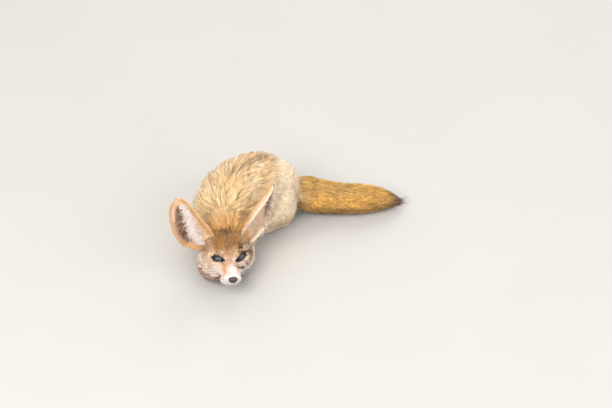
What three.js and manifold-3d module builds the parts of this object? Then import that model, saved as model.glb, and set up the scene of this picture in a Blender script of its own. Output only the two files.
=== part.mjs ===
// A fennec fox, life size, crouched on the floor with its head raised and turned to one side.
// Millimetres, +Z up. The face looks towards -Y and the tail lies along +X.
// Spine, leg and tail points are measured from the ground under the middle of the back.

import * as THREE from "three";
import { mergeVertices } from "three/addons/utils/BufferGeometryUtils.js";
import Module from "manifold-3d";

const wasm = await Module();
wasm.setup();

// Driving sizes
const headAt = [-5.5, -125, 52]; // the point midway between the eyes
const headYaw = 9; // degrees, the face turned towards the tail's side
const headPitch = -8; // degrees, the nose a little up
const eyeSpread = 16.4; // from the middle of the face to an eyeball's centre
const eyeRadius = 7.8;
const lidDepth = 1.7;
const eyeLift = 32; // degrees, how far the eyes look up
const eyeTurn = 24; // degrees, how far each looks out to its side
const noseToEyes = 43;
const earLength = 109;
const earHalfWidth = 31;
const earWall = 2.6;
const fringeDepth = 3.5; // the hair along the inner edge of the cup
const footHeight = 14;
const footprintCentre = [83.84, -47.24]; // middle of the whole footprint, which the part's origin stands under
const seam = 0.32; // the gap between pieces that touch
const backCoat = 14; // how far the coat's tips stand from the skin on the back
const brushCoat = 18;
const napeCoat = 11;
const thighCoat = 8;
const ruffDepth = 9;

const v3 = (x, y, z) => new THREE.Vector3(x, y, z);
const radians = THREE.MathUtils.degToRad;

// A closed tube through rings of points, from one pole to the other, as a sphere that has been reshaped.
// pointAt(row share, turn in radians) gives each point.
function reshapedSphere(turns, rows, pointAt) {
  const geometry = new THREE.SphereGeometry(1, turns, rows);
  const position = geometry.attributes.position;
  for (let row = 0; row <= rows; row++) {
    for (let step = 0; step <= turns; step++) {
      const turn = (-(step % turns) / turns) * 2 * Math.PI;
      const p = pointAt(row / rows, turn);
      position.setXYZ(row * (turns + 1) + step, p.x, p.y, p.z);
    }
  }
  return geometry;
}

// A limb with an oval section that changes along a smooth path. Each station has its centre, its half
// width across and its half height. coatAt() gives a point of its surface or above it.
function limb(stations, { turns = 16, rows = 14, bluntStart = 0.16, bluntEnd = 0.16 } = {}) {
  const path = new THREE.CatmullRomCurve3(stations.map(([x, y, z]) => v3(x, y, z)));
  const sizes = new THREE.CatmullRomCurve3(stations.map(([, , , wide, tall]) => v3(wide, tall, 0)));
  const axesAt = (t) => {
    const along = path.getTangent(t);
    const across = v3(0, 0, 1).cross(along).normalize();
    return { along, across, over: along.clone().cross(across) };
  };
  const endRound = (t) => {
    const nearEnd = Math.min(t / bluntStart, (1 - t) / bluntEnd, 1);
    return Math.sqrt(Math.max(0, 1 - (1 - nearEnd) ** 2));
  };
  const at = (t, turn, height = 0, grow = 0) => {
    const { along, across, over } = axesAt(t);
    const size = sizes.getPoint(t);
    const round = endRound(t);
    const lift = height + (round > 0 ? grow : 0);
    return path
      .getPoint(t)
      .addScaledVector(across, Math.cos(turn) * (size.x * round + lift))
      .addScaledVector(over, Math.sin(turn) * (size.y * round + lift))
      .addScaledVector(along, (t < 0.5 ? -grow : grow) * (1 - round));
  };
  const geometry = (grow = 0) => {
    // rows crowd towards both ends, where the shape closes
    const share = (r) => {
      const swing = Math.cos(Math.PI * r);
      return 0.5 - 0.5 * swing * (0.7 + 0.3 * Math.abs(swing));
    };
    return reshapedSphere(turns, rows, (r, turn) => at(share(r), turn, 0, grow));
  };
  // the coat's surface, which runs straight on past both ends
  const reach = path.getLength();
  const coatAt = (t, turn, sideways, height) => {
    const inside = THREE.MathUtils.clamp(t, 0.001, 0.999);
    const { along, across, over } = axesAt(inside);
    const size = sizes.getPoint(inside);
    const angle = turn + sideways / Math.max(6, (size.x + size.y) / 2);
    return path
      .getPoint(inside)
      .addScaledVector(across, Math.cos(angle) * (size.x + height))
      .addScaledVector(over, Math.sin(angle) * (size.y + height))
      .addScaledVector(along, (t - inside) * reach);
  };
  return { geometry, coatAt, reach };
}

const shrunk = (stations, inset) =>
  stations.map(([x, y, z, ...sizes]) => [x, y, z, ...sizes.map((size) => Math.max(2.5, size - inset))]);

// One lock of the coat: a flat blade with its root sunk in the limb, bent out along the lie to a thin tip.
// It travels along the limb (way 1) or back (way -1), and leans round it by the angle given.
function lock(form, { t, turn, way, lean, length, width, thick, sink, rise }) {
  const fullness = [0, 0.8, 1, 0.72, 0];
  return {
    geometry: (grow = 0) =>
      reshapedSphere(3, 4, (s, ring) => {
        // each ring is a flat triangle: two edges and a ridge between them
        const edge = -way * Math.sign(Math.round(Math.cos(ring + Math.PI / 2)));
        const past = (s === 1 ? 4 : s === 0 ? -3.5 : 0) * grow;
        const along = t + (way * (length * s + past)) / form.reach;
        const full = fullness[Math.round(s * 4)];
        const sideways = full ? edge * (width * 0.5 * full + 4 * grow) : 0;
        const outwards = full ? (edge ? -1 : 1) * (thick * (0.6 - 0.4 * s) + grow) : 0;
        const height = -sink * (1 - s) ** 2 + rise * s + (s === 1 ? 0.35 : s === 0 ? -2 : 0) * grow;
        return form.coatAt(along, turn + lean * s, sideways, height + outwards);
      }),
  };
}

const random = () => THREE.MathUtils.seededRandom();
const spread = (amount) => (random() * 2 - 1) * amount;

// Locks in staggered rows over a limb, from one share of its length to another and over an arc round it
function coatOf(form, { seed, rows, perRow, from, to, arc, lean = 0, length, width, rise, ...shape }) {
  THREE.MathUtils.seededRandom(seed);
  const locks = [];
  for (let row = 0; row < rows; row++) {
    for (let k = 0; k < perRow; k++) {
      const share = (k + 0.5 + (row % 2 ? 0.25 : -0.25)) / perRow;
      const turn = radians(arc[0] + (arc[1] - arc[0]) * share + spread(4));
      locks.push(
        lock(form, {
          ...shape,
          t: from + ((to - from) * (row + 0.5)) / rows + spread(0.012),
          turn,
          lean: radians(lean) * Math.cos(turn) + radians(spread(5)),
          length: length * (1 + spread(0.14)),
          width: width * (1 + spread(0.1)),
          rise: rise + spread(1),
        }),
      );
    }
  }
  return locks;
}

const ball = (centre, radii, turns = 14, rows = 10) => ({
  geometry: (grow = 0) =>
    new THREE.SphereGeometry(1, turns, rows)
      .scale(radii[0] + grow, radii[1] + grow, radii[2] + grow)
      .translate(...centre),
});

// Solids: a closed geometry for the boolean library, and back
function solid(geometry) {
  const bare = geometry.clone();
  for (const name of Object.keys(bare.attributes)) {
    if (name !== "position") bare.deleteAttribute(name);
  }
  const merged = mergeVertices(bare, 1e-4);
  return new wasm.Manifold(
    new wasm.Mesh({
      numProp: 3,
      vertProperties: merged.attributes.position.array,
      triVerts: new Uint32Array(merged.index.array),
    }),
  );
}

function geometryOf(shape) {
  const mesh = shape.getMesh();
  const positions = new Float32Array(mesh.numVert * 3);
  for (let i = 0; i < mesh.numVert; i++) {
    positions.set(mesh.vertProperties.subarray(i * mesh.numProp, i * mesh.numProp + 3), i * 3);
  }
  const geometry = new THREE.BufferGeometry();
  geometry.setAttribute("position", new THREE.BufferAttribute(positions, 3));
  geometry.setIndex(new THREE.BufferAttribute(new Uint32Array(mesh.triVerts), 1));
  geometry.computeVertexNormals();
  return geometry;
}

const joined = (solids) => solids.reduce((sum, one) => sum.add(one));
const largestPiece = (shape) => shape.decompose().reduce((a, b) => (b.volume() > a.volume() ? b : a));
const underFloor = solid(new THREE.BoxGeometry(900, 900, 200).translate(0, 0, -100));

// The finished pieces so far. A new piece is cut clear of those before it that it lists.
const finished = new Map();

function addPiece(name, { forms, move = new THREE.Matrix4(), clearOf = [], cut = () => [] }) {
  const built = (grow) => joined(forms.map((form) => solid(form.geometry(grow).applyMatrix4(move))));
  const cutters = (grow) => cut(grow).map((form) => solid(form.geometry(grow).applyMatrix4(move)));
  let shape = built(0).subtract(underFloor);
  for (const cutter of cutters(0)) shape = shape.subtract(cutter);
  for (const other of clearOf.map((each) => finished.get(each))) {
    shape = shape.subtract(other.grown()).subtract(other.shape);
  }
  shape = largestPiece(shape);
  finished.set(name, { shape, grown: () => built(seam) });
  return shape;
}

// Head: points in its own frame, with the origin midway between the eyes and the face towards -Y
const headPlace = new THREE.Matrix4()
  .makeTranslation(...headAt)
  .multiply(new THREE.Matrix4().makeRotationZ(radians(headYaw)))
  .multiply(new THREE.Matrix4().makeRotationX(radians(headPitch)));

const skull = limb(
  [
    [0, -9, -1, 13, 9],
    [0, 6, 2, 23, 18],
    [0, 22, 2, 31, 24],
    [0, 40, -1, 33, 26],
    [0, 58, -9, 25, 24],
  ],
  { turns: 14, rows: 9 },
);
const muzzle = limb(
  [
    [0, 12, -11, 24, 20],
    [0, -8, -12.5, 19, 15],
    [0, -24, -15.5, 14.5, 11],
    [0, -35, -16, 11.5, 9],
    [0, -noseToEyes + 1, -16, 7.5, 7],
  ],
  { turns: 12, rows: 9 },
);
const temple = (side) =>
  limb(
    [
      [side * 13, -12, -7, 10, 11.5],
      [side * 20, 6, -5.5, 14.5, 17],
      [side * 25, 30, -8, 16, 20],
    ],
    { turns: 10, rows: 6, bluntStart: 0.3, bluntEnd: 0.3 },
  );
// the right cheek hangs, and the left one is drawn in
const cheekStations = {
  right: [
    [-9, -14, -18, 11, 11],
    [-18.5, 4, -22.5, 17, 18],
    [-26, 24, -23.5, 18.5, 20],
    [-26, 46, -17, 16, 19],
  ],
  left: [
    [8.5, -14, -16, 10.5, 11],
    [13, 4, -17, 13.5, 17],
    [24, 24, -19, 17, 19.5],
    [26, 46, -17, 16, 19],
  ],
};
const cheekOf = (side) => (side < 0 ? cheekStations.right : cheekStations.left);
const cheek = (side) => limb(shrunk(cheekOf(side), ruffDepth / 2), { turns: 12, rows: 7 });
const ruff = (side) =>
  coatOf(limb(cheekOf(side)), {
    seed: 11 + side,
    rows: 2,
    perRow: 4,
    from: 0.45,
    to: 0.95,
    arc: side < 0 ? [-75, 45] : [255, 135],
    way: 1,
    lean: -8,
    length: 22,
    width: 11,
    thick: 3,
    sink: ruffDepth / 2 + 4,
    rise: 1.5,
  });
const lipPad = (side) => ball([side * 6.5, -31, -18.5], [9.5, 9.5, 7.6], 10, 6);
const lip = (side) =>
  limb(
    [
      [side * 4, -39, -23, 2, 2],
      [side * 12, -29, -25.5, 2.4, 2.4],
      [side * 17.5, -13, -26.5, 2.4, 2.4],
      [side * 23, 4, -25.5, 2, 2],
    ],
    { turns: 6, rows: 6, bluntStart: 0.1, bluntEnd: 0.1 },
  );
const eyeball = (side) => ball([side * eyeSpread, -1, 0], [eyeRadius, eyeRadius, eyeRadius], 12, 8);
const lids = (side) => {
  const r = eyeRadius + lidDepth;
  return ball([side * eyeSpread, -1, 0], [r, r, r], 12, 8);
};
// The almond opening between the lids, pushed in from the front
const lidOpening = (side) => ({
  geometry: () => {
    const almond = new THREE.Shape();
    almond.moveTo(-9 * side, -2);
    almond.quadraticCurveTo(-1 * side, 9.5, 9 * side, 2);
    almond.quadraticCurveTo(2 * side, -8, -9 * side, -2);
    return new THREE.ExtrudeGeometry(almond, { depth: 16, bevelEnabled: false, curveSegments: 5 })
      .rotateX(radians(90 - eyeLift))
      .rotateZ(radians(side * eyeTurn))
      .translate(side * eyeSpread, -1, 0);
  },
});
const nosePad = ball([0, -noseToEyes, -12.6], [6.4, 4.4, 4.9], 10, 6);
const nostril = (side) => ball([side * 3.4, -noseToEyes - 3.6, -12.4], [1.5, 2.2, 1.3], 6, 4);
const lowerJaw = limb(
  [
    [0, 16, -31, 20, 10],
    [0, -4, -31, 14, 8],
    [0, -22, -29, 9.5, 6.5],
    [0, -35, -26.5, 6.5, 5],
  ],
  { turns: 10, rows: 7 },
);

const faceHalf = (side) => [temple(side), cheek(side), lipPad(side), lip(side), lids(side), ...ruff(side)];

addPiece("eye_right", { forms: [eyeball(-1)], move: headPlace });
addPiece("eye_left", { forms: [eyeball(1)], move: headPlace });
addPiece("nose", { forms: [nosePad], move: headPlace, cut: () => [nostril(-1), nostril(1)] });
addPiece("head", {
  forms: [skull, muzzle, ...faceHalf(-1), ...faceHalf(1)],
  move: headPlace,
  cut: () => [lidOpening(-1), lidOpening(1)],
  clearOf: ["eye_right", "eye_left", "nose"],
});
addPiece("lower_jaw", { forms: [lowerJaw], move: headPlace, clearOf: ["head"] });

// Ears: a leaf-shaped sheet rolled into a cup, in the head's frame.
// The leaf's outline goes by shares of its length and its greatest half width.
const earLeaf = [
  [0, 0.52],
  [0.08, 0.65],
  [0.2, 0.83],
  [0.33, 0.96],
  [0.52, 0.93],
  [0.7, 0.8],
  [0.83, 0.67],
  [0.92, 0.52],
  [0.97, 0.37],
  [1, 0.13],
];

function ear({ side, root, reach, turn, twist, roll, bow }) {
  const axis = v3(...reach).normalize();
  const forward = v3(0, -1, 0).applyAxisAngle(v3(0, 0, 1), radians(turn));
  const facing = forward.addScaledVector(axis, -forward.dot(axis)).normalize();
  const across = axis.clone().cross(facing).multiplyScalar(side);
  const leaf = new THREE.SplineCurve(earLeaf.map(([t, share]) => new THREE.Vector2(t, share * earHalfWidth)));
  const outline = leaf.getPoints(90);
  const halfWidthAt = (t) => {
    const next = Math.max(1, outline.findIndex((point) => point.x >= t - 1e-6));
    const [low, high] = [outline[next - 1], outline[next]];
    return THREE.MathUtils.mapLinear(t, low.x, high.x, low.y, high.y);
  };
  const middle = (u, t) => {
    const halfWidth = halfWidthAt(t);
    const wrap = radians(roll) * (1.55 - 1.25 * t + 0.55 * t * t);
    const radius = halfWidth / wrap;
    const lean = bow * Math.sin(Math.PI * t);
    const twisted = radians(twist) * t;
    const wide = radius * Math.sin(u * wrap);
    const deep = radius * (Math.cos(wrap * 0.5) - Math.cos(u * wrap));
    return v3(...root)
      .addScaledVector(axis, earLength * t)
      .addScaledVector(across, wide * Math.cos(twisted) + deep * Math.sin(twisted) + lean)
      .addScaledVector(facing, deep * Math.cos(twisted) - wide * Math.sin(twisted) + 0.4 * lean);
  };
  const wallAt = (u, t, face, grow) => {
    const step = 0.02;
    const overU = middle(u + step, t).sub(middle(u - step, t));
    const overT = middle(u, Math.min(1, t + step)).sub(middle(u, Math.max(0, t - step)));
    const normal = overU.clone().cross(overT).normalize();
    const band = Math.max(0, 1 - ((u + 0.5) / 0.42) ** 2) * Math.sqrt(Math.sin(Math.PI * t));
    const fringe = face === side ? fringeDepth * band : 0;
    const thick = earWall * (1 - 0.55 * u * u) * (1.25 - 0.6 * t) * 0.5 + fringe + grow;
    const outwards = (share) => (Math.abs(share) > 0.999 ? grow * Math.sign(share) : 0);
    return middle(u, t)
      .addScaledVector(normal, face * thick)
      .addScaledVector(overU.normalize(), outwards(u))
      .addScaledVector(overT.normalize(), outwards(2 * t - 1));
  };
  const columns = 8;
  const rows = 11;
  const geometry = (grow = 0) => {
    const points = [];
    const index = [];
    const cell = (face, i, j) => (face * (rows + 1) + j) * (columns + 1) + i;
    for (const face of [-1, 1]) {
      for (let j = 0; j <= rows; j++) {
        for (let i = 0; i <= columns; i++) {
          points.push(...wallAt((i / columns) * 2 - 1, j / rows, face, grow).toArray());
        }
      }
    }
    const quad = (a, b, c, d) => index.push(a, b, c, a, c, d);
    for (let j = 0; j < rows; j++) {
      for (let i = 0; i < columns; i++) {
        quad(cell(1, i, j), cell(1, i + 1, j), cell(1, i + 1, j + 1), cell(1, i, j + 1));
        index.push(cell(0, i, j), cell(0, i + 1, j + 1), cell(0, i + 1, j));
        index.push(cell(0, i, j), cell(0, i, j + 1), cell(0, i + 1, j + 1));
      }
      quad(cell(0, 0, j), cell(1, 0, j), cell(1, 0, j + 1), cell(0, 0, j + 1));
      quad(cell(1, columns, j), cell(0, columns, j), cell(0, columns, j + 1), cell(1, columns, j + 1));
    }
    for (let i = 0; i < columns; i++) {
      quad(cell(0, i, 0), cell(0, i + 1, 0), cell(1, i + 1, 0), cell(1, i, 0));
      quad(cell(1, i, rows), cell(1, i + 1, rows), cell(0, i + 1, rows), cell(0, i, rows));
    }
    const sheet = new THREE.BufferGeometry();
    sheet.setAttribute("position", new THREE.Float32BufferAttribute(points, 3));
    sheet.setIndex(index);
    return sheet;
  };
  // the small pocket of doubled skin on the outer edge, low down
  const edge = (t, out) => {
    const p = middle(1, t);
    return p.clone().add(p.sub(middle(0.9, t)).setLength(out));
  };
  const pocket = limb(
    [
      [...edge(0.07, 0).toArray(), 2.2, 2],
      [...edge(0.13, 2.2).toArray(), 3, 2.4],
      [...edge(0.2, 2.6).toArray(), 3, 2.4],
      [...edge(0.3, 0).toArray(), 2, 1.8],
    ],
    { turns: 6, rows: 6 },
  );
  return [{ geometry }, pocket];
}

const earRight = ear({ side: -1, root: [-25, 38, 0], reach: [-49.5, -9.5, 98.5], turn: 4, twist: 0, roll: 48, bow: 8.5 });
const earLeft = ear({ side: 1, root: [27, 40, -1], reach: [50.5, 4.5, 97], turn: 14, twist: 58, roll: 66, bow: -1.5 });
addPiece("ear_right", { forms: earRight, move: headPlace, clearOf: ["head"] });
addPiece("ear_left", { forms: earLeft, move: headPlace, clearOf: ["head"] });

// Neck, torso, thighs and tail: a core at half the coat's depth, and locks out to its tips
const torsoStations = [
  [96, 30, 44, 28, 32],
  [66, 27, 54, 46, 53],
  [33, 15, 60.5, 54, 62],
  [6, -6, 61.5, 55, 63],
  [-9, -34, 56.5, 52, 57.5],
  [-13, -66, 50, 40, 42],
];
const neckStations = [
  [-11, -46, 62, 36, 36],
  [-10, -66, 57, 36, 34],
  [-8, -84, 51, 33, 29],
  [-7, -102, 47, 27, 24],
];
const thighLeftStations = [
  [92, 16, 50, 14, 28],
  [72, 6, 46, 27, 43],
  [40, -6, 38, 26, 37],
  [8, -16, 26, 18, 24],
];
const thighRightStations = [
  [90, 42, 52, 14, 30],
  [66, 52, 48, 26, 44],
  [32, 54, 40, 25, 38],
  [-4, 44, 27, 18, 24],
];
const tailStations = [
  [84, 33.5, 48, 23, 24],
  [114, 36.5, 34, 27.5, 28.5],
  [152, 36.5, 26.5, 25.5, 26.5],
  [200, 38, 23, 23, 23.5],
  [236, 41, 18, 15, 15.5],
  [261, 43, 13, 5, 5],
];
const bellyStations = [
  [64, 28, 20, 30, 20],
  [34, 20, 20, 33, 22],
  [4, -4, 20, 38, 22],
  [-9, -40, 19, 34, 19.5],
];
const brushBaseStations = [
  [110, 34, 16, 15, 16],
  [152, 36, 16, 18, 17],
  [205, 38, 14.5, 16, 15],
];
const throatStations = [
  [-11, -44, 44, 34, 32],
  [-9, -70, 36, 30, 27],
  [-7, -96, 32, 24, 20],
];
const torsoShape = { turns: 18, rows: 12, bluntStart: 0.14, bluntEnd: 0.12 };
const neckShape = { turns: 14, rows: 7, bluntStart: 0.2, bluntEnd: 0.2 };
const bellyShape = { turns: 12, rows: 6, bluntStart: 0.3, bluntEnd: 0.3 };
const throatShape = { turns: 12, rows: 6, bluntStart: 0.25, bluntEnd: 0.3 };
const thighShape = { turns: 12, rows: 8, bluntStart: 0.24, bluntEnd: 0.25 };
const tailShape = { turns: 12, rows: 10, bluntStart: 0.1, bluntEnd: 0.08 };

const backLocks = coatOf(limb(torsoStations, torsoShape), {
  seed: 21,
  rows: 6,
  perRow: 7,
  from: 0.2,
  to: 0.95,
  arc: [-15, 195],
  way: -1,
  lean: -10,
  length: 40,
  width: 29,
  thick: 4,
  sink: backCoat * 0.5 + 5,
  rise: 2,
});
const napeLocks = coatOf(limb(neckStations, neckShape), {
  seed: 22,
  rows: 2,
  perRow: 6,
  from: 0.25,
  to: 0.85,
  arc: [-10, 190],
  way: -1,
  lean: -8,
  length: 28,
  width: 20,
  thick: 4,
  sink: napeCoat * 0.5 + 4,
  rise: 0.5,
});
const thighLocks = (stations, seed, arc) =>
  coatOf(limb(stations, thighShape), {
    seed,
    rows: 3,
    perRow: 2,
    from: 0.25,
    to: 0.8,
    arc,
    way: -1,
    lean: -12,
    length: 30,
    width: 21,
    thick: 4,
    sink: thighCoat * 0.5 + 4,
    rise: 0.3,
  });
const brushLocks = coatOf(limb(tailStations, tailShape), {
  seed: 25,
  rows: 7,
  perRow: 5,
  from: 0,
  to: 0.87,
  arc: [-45, 225],
  way: 1,
  length: 37,
  width: 19,
  thick: 3.5,
  sink: brushCoat * 0.5 + 3,
  rise: 0.5,
});

const core = (stations, coatDepth, shape) => limb(shrunk(stations, coatDepth / 2), shape);

addPiece("neck", {
  forms: [core(neckStations, napeCoat, neckShape), limb(throatStations, throatShape), ...napeLocks],
  clearOf: ["head", "ear_right", "ear_left"],
});
addPiece("torso", {
  forms: [core(torsoStations, backCoat, torsoShape), limb(bellyStations, bellyShape), ...backLocks],
  clearOf: ["head", "ear_right", "ear_left", "neck"],
});
addPiece("thigh_left", {
  forms: [core(thighLeftStations, thighCoat, thighShape), ...thighLocks(thighLeftStations, 23, [-65, 20])],
  clearOf: ["torso"],
});
addPiece("thigh_right", {
  forms: [core(thighRightStations, thighCoat, thighShape), ...thighLocks(thighRightStations, 24, [245, 160])],
  clearOf: ["torso", "thigh_left"],
});
addPiece("tail", {
  forms: [core(tailStations, brushCoat, tailShape), limb(brushBaseStations, bellyShape), ...brushLocks],
  clearOf: ["torso", "thigh_left", "thigh_right"],
});

// Legs: toes spread across the front of each foot
function foot({ heel, toes, width, toeCount = 4 }) {
  const from = v3(...heel);
  const to = v3(...toes);
  const along = to.clone().sub(from).normalize();
  const across = v3(0, 0, 1).cross(along).normalize();
  const middle = from.clone().lerp(to, 0.5);
  const front = from.clone().lerp(to, 1 - 7 / from.distanceTo(to));
  const sole = limb(
    [
      [from.x, from.y, from.z, width * 0.8, footHeight * 0.62],
      [middle.x, middle.y, middle.z, width * 0.85, footHeight * 0.52],
      [front.x, front.y, front.z, width, footHeight * 0.48],
    ],
    { turns: 10, rows: 6, bluntStart: 0.2, bluntEnd: 0.2 },
  );
  const digits = [];
  for (let i = 0; i < toeCount; i++) {
    const fan = i / (toeCount - 1) - 0.5;
    const toe = 7 - 14 * fan * fan;
    const sideways = across.clone().multiplyScalar(fan * width);
    const root = front.clone().addScaledVector(sideways, 1.2).addScaledVector(along, -5).setZ(6);
    const tip = to.clone().addScaledVector(sideways, 1.75).addScaledVector(along, toe).setZ(3.7);
    const claw = tip.clone().addScaledVector(along, 7).setZ(2.2);
    const joint = [...tip.toArray(), 3.3, 3.9];
    const clawBase = [...tip.toArray(), 1.6, 1.6];
    digits.push(
      limb([[...root.toArray(), 3.4, 4.2], joint], { turns: 5, rows: 4, bluntStart: 0.3, bluntEnd: 0.3 }),
      limb([clawBase, [...claw.toArray(), 0.5, 0.6]], { turns: 4, rows: 3 }),
    );
  }
  return [sole, ...digits];
}

const arm = (side) => {
  const shape = { turns: 10, rows: 6, bluntStart: 0.25, bluntEnd: 0.25 };
  const upper = limb(
    [
      [-13 + side * 22, -64, 60, 14, 22],
      [-13 + side * 35, -60, 38, 15, 20],
      [-13 + side * 38, -42, 18, 11, 14],
    ],
    shape,
  );
  const lower = limb(
    [
      [-13 + side * 37, -37, 12.5, 11, 13],
      [-12 + side * 29, -56, 10, 10, 10.5],
      [-10 + side * 18, -90, 8, 8, 8.5],
    ],
    shape,
  );
  return [upper, lower];
};

addPiece("foreleg_left", {
  forms: arm(1),
  clearOf: ["torso", "neck", "head", "ear_left", "thigh_left"],
});
addPiece("foreleg_right", {
  forms: arm(-1),
  clearOf: ["torso", "neck", "head", "ear_right", "foreleg_left"],
});
addPiece("forepaw_left", {
  forms: foot({ heel: [10, -88, 7.5], toes: [6, -110, 6.2], width: 9 }),
  clearOf: ["foreleg_left", "foreleg_right", "neck", "head", "lower_jaw"],
});
addPiece("forepaw_right", {
  forms: foot({ heel: [-27, -88, 7.5], toes: [-20, -110, 6.2], width: 9 }),
  clearOf: ["foreleg_right", "forepaw_left", "foreleg_left", "neck", "head", "lower_jaw"],
});
addPiece("hind_foot_left", {
  forms: foot({ heel: [86, 7, 7.6], toes: [34, -22, 6], width: 9.5 }),
  clearOf: ["thigh_left", "torso", "foreleg_left"],
});
addPiece("hind_foot_right", {
  forms: foot({ heel: [74, 62, 7.6], toes: [-10, 58, 6], width: 9.5 }),
  clearOf: ["thigh_right", "torso", "foreleg_right"],
});

// The scene graph
const paleCoat = 0xf0dcc2;
const eyeBlack = 0x1d1719;
const golden = 0xdcab62;
const colours = {
  torso: 0xe8cda2,
  tail: golden,
  neck: golden,
  lower_jaw: 0xf4ece6,
  nose: 0x2b2022,
  eye_left: eyeBlack,
  eye_right: eyeBlack,
};

const fox = new THREE.Group();
fox.position.set(-footprintCentre[0], -footprintCentre[1], 0);
for (const [name, piece] of finished) {
  const wet = name.startsWith("eye") || name === "nose";
  const material = new THREE.MeshStandardMaterial({
    color: colours[name] ?? paleCoat,
    roughness: wet ? 0.2 : 0.95,
    metalness: 0,
  });
  const mesh = new THREE.Mesh(geometryOf(piece.shape), material);
  mesh.name = name;
  fox.add(mesh);
}

export default fox;
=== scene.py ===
import math

import bmesh
import bpy
import numpy as np
from mathutils.kdtree import KDTree
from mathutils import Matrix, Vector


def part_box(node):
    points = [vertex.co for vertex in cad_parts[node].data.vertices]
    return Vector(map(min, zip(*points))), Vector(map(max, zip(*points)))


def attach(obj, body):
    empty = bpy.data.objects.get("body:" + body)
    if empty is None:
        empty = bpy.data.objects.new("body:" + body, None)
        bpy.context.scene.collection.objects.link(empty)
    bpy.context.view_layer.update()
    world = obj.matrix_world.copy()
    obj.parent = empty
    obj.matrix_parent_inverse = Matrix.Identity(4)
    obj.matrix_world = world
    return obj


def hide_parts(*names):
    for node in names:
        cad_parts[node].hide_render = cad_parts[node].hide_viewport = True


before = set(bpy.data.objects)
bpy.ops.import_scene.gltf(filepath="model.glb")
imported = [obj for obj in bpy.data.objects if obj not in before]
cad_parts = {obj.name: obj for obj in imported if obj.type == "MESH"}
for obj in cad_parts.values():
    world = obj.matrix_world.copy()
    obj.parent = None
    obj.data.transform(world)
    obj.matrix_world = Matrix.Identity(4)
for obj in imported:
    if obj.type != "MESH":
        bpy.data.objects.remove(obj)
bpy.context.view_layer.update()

# A fennec fox lying curled on the floor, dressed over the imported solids.
# Points are in the fox's own millimetres, from the ground under the middle of its back,
# or in the head's, from midway between the eyes with the face towards -Y.
# Sides are -1 for the fox's right and 1 for its left.
headSettings = {
    "at": (-5.5, -125, 52),
    "yaw": 9,
    "pitch": -8,
    "eyeSpread": 16.4,
    "eyeBack": -1,
    "eyeRadius": 7.8,
    "eyeLift": 32,
    "eyeTurn": {-1: 21, 1: 31},
}
sides = (("right", -1), ("left", 1))


def spin(axis, degrees):
    c, s = math.cos(math.radians(degrees)), math.sin(math.radians(degrees))
    if axis == "x":
        return np.array([[1, 0, 0], [0, c, -s], [0, s, c]])
    return np.array([[c, -s, 0], [s, c, 0], [0, 0, 1]])


headTurn = spin("z", headSettings["yaw"]) @ spin("x", headSettings["pitch"])


def fromHead(points):
    return np.asarray(points, float) @ headTurn.T + headSettings["at"]


def toHead(points):
    return (np.asarray(points, float) - headSettings["at"]) @ headTurn


def boxMiddle(node):
    low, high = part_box(node)
    return (np.array(low) + np.array(high)) * 500  # half of both, in mm


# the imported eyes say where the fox's own ground point lies in the frame
eyesMiddle = (boxMiddle("eye_left") + boxMiddle("eye_right")) / 2
groundShift = (eyesMiddle - fromHead((0, headSettings["eyeBack"], 0))) * (1, 1, 0)


def toFrame(points):
    return (np.asarray(points, float) + groundShift) / 1000


def unit(vectors):
    return vectors / np.maximum(np.linalg.norm(vectors, axis=-1, keepdims=True), 1e-9)


def ramp(value, low, high):
    t = np.clip((value - low) / (high - low), 0, 1)
    return t * t * (3 - 2 * t)


def bell(value, middle, half):
    return np.exp(-(((value - middle) / half) ** 2))


# rows of values, each with its name, as dictionaries with the same keys
def table(keys, rows):
    return {name: dict(zip(keys.split(), row)) for name, row in rows.items()}


# a colour written as on a screen, made linear
def tone(code):
    screen = np.array([int(code[k : k + 2], 16) / 255 for k in (0, 2, 4)])
    return np.where(screen <= 0.04045, screen / 12.92, ((screen + 0.055) / 1.055) ** 2.4)


# smooth, repeatable waves through space, about -1 to 1, one value a point
def waves(points, size, seed):
    rng = np.random.default_rng(seed)
    total = np.zeros(len(points))
    for _ in range(6):
        pace = points @ unit(rng.normal(size=3)) * (6.283 / size)
        total += np.sin(pace * rng.uniform(0.7, 1.4) + rng.uniform(0, 6.283))
    return total / 3


def newObject(name, data):
    made = bpy.data.objects.new(name, data)
    bpy.context.scene.collection.objects.link(made)
    return made


def newPiece(name, mesh):
    mesh.shade_smooth()
    return newObject(name, mesh)


def newShell(name, points, faces):
    mesh = bpy.data.meshes.new(name)
    mesh.from_pydata(toFrame(points).tolist(), [], [list(face) for face in faces])
    mesh.validate()
    return newPiece(name, mesh)


def faceOutwards(piece):
    shape = bmesh.new()
    shape.from_mesh(piece.data)
    bmesh.ops.remove_doubles(shape, verts=shape.verts, dist=1e-6)
    bmesh.ops.recalc_face_normals(shape, faces=shape.faces)
    shape.to_mesh(piece.data)
    shape.free()


def bakeModifiers(piece):
    bpy.context.view_layer.update()
    result = bpy.data.meshes.new_from_object(piece.evaluated_get(bpy.context.evaluated_depsgraph_get()))
    piece.modifiers.clear()
    piece.data = result
    result.name = piece.name


def setPoints(mesh, points):
    mesh.vertices.foreach_set("co", toFrame(points).astype(np.float32).ravel())


# one colour for each point, or the same one for all
def setColours(mesh, colours):
    count = len(mesh.vertices)
    layer = mesh.color_attributes.new("coatColour", "FLOAT_COLOR", "POINT")
    values = np.column_stack([np.broadcast_to(colours, (count, 3)), np.ones(count)])
    layer.data.foreach_set("color", values.astype(np.float32).ravel())


def fitToFox(piece, material, slotName, *nodes):
    if material:
        piece.data.materials.append(material)
    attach(piece, "root")
    if nodes:
        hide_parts(*nodes)


def closedPiece(name, points, faces, colours, material, slotName, *nodes):
    piece = newShell(name, points, faces)
    setColours(piece.data, colours)
    faceOutwards(piece)
    fitToFox(piece, material, slotName, *nodes)


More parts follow.
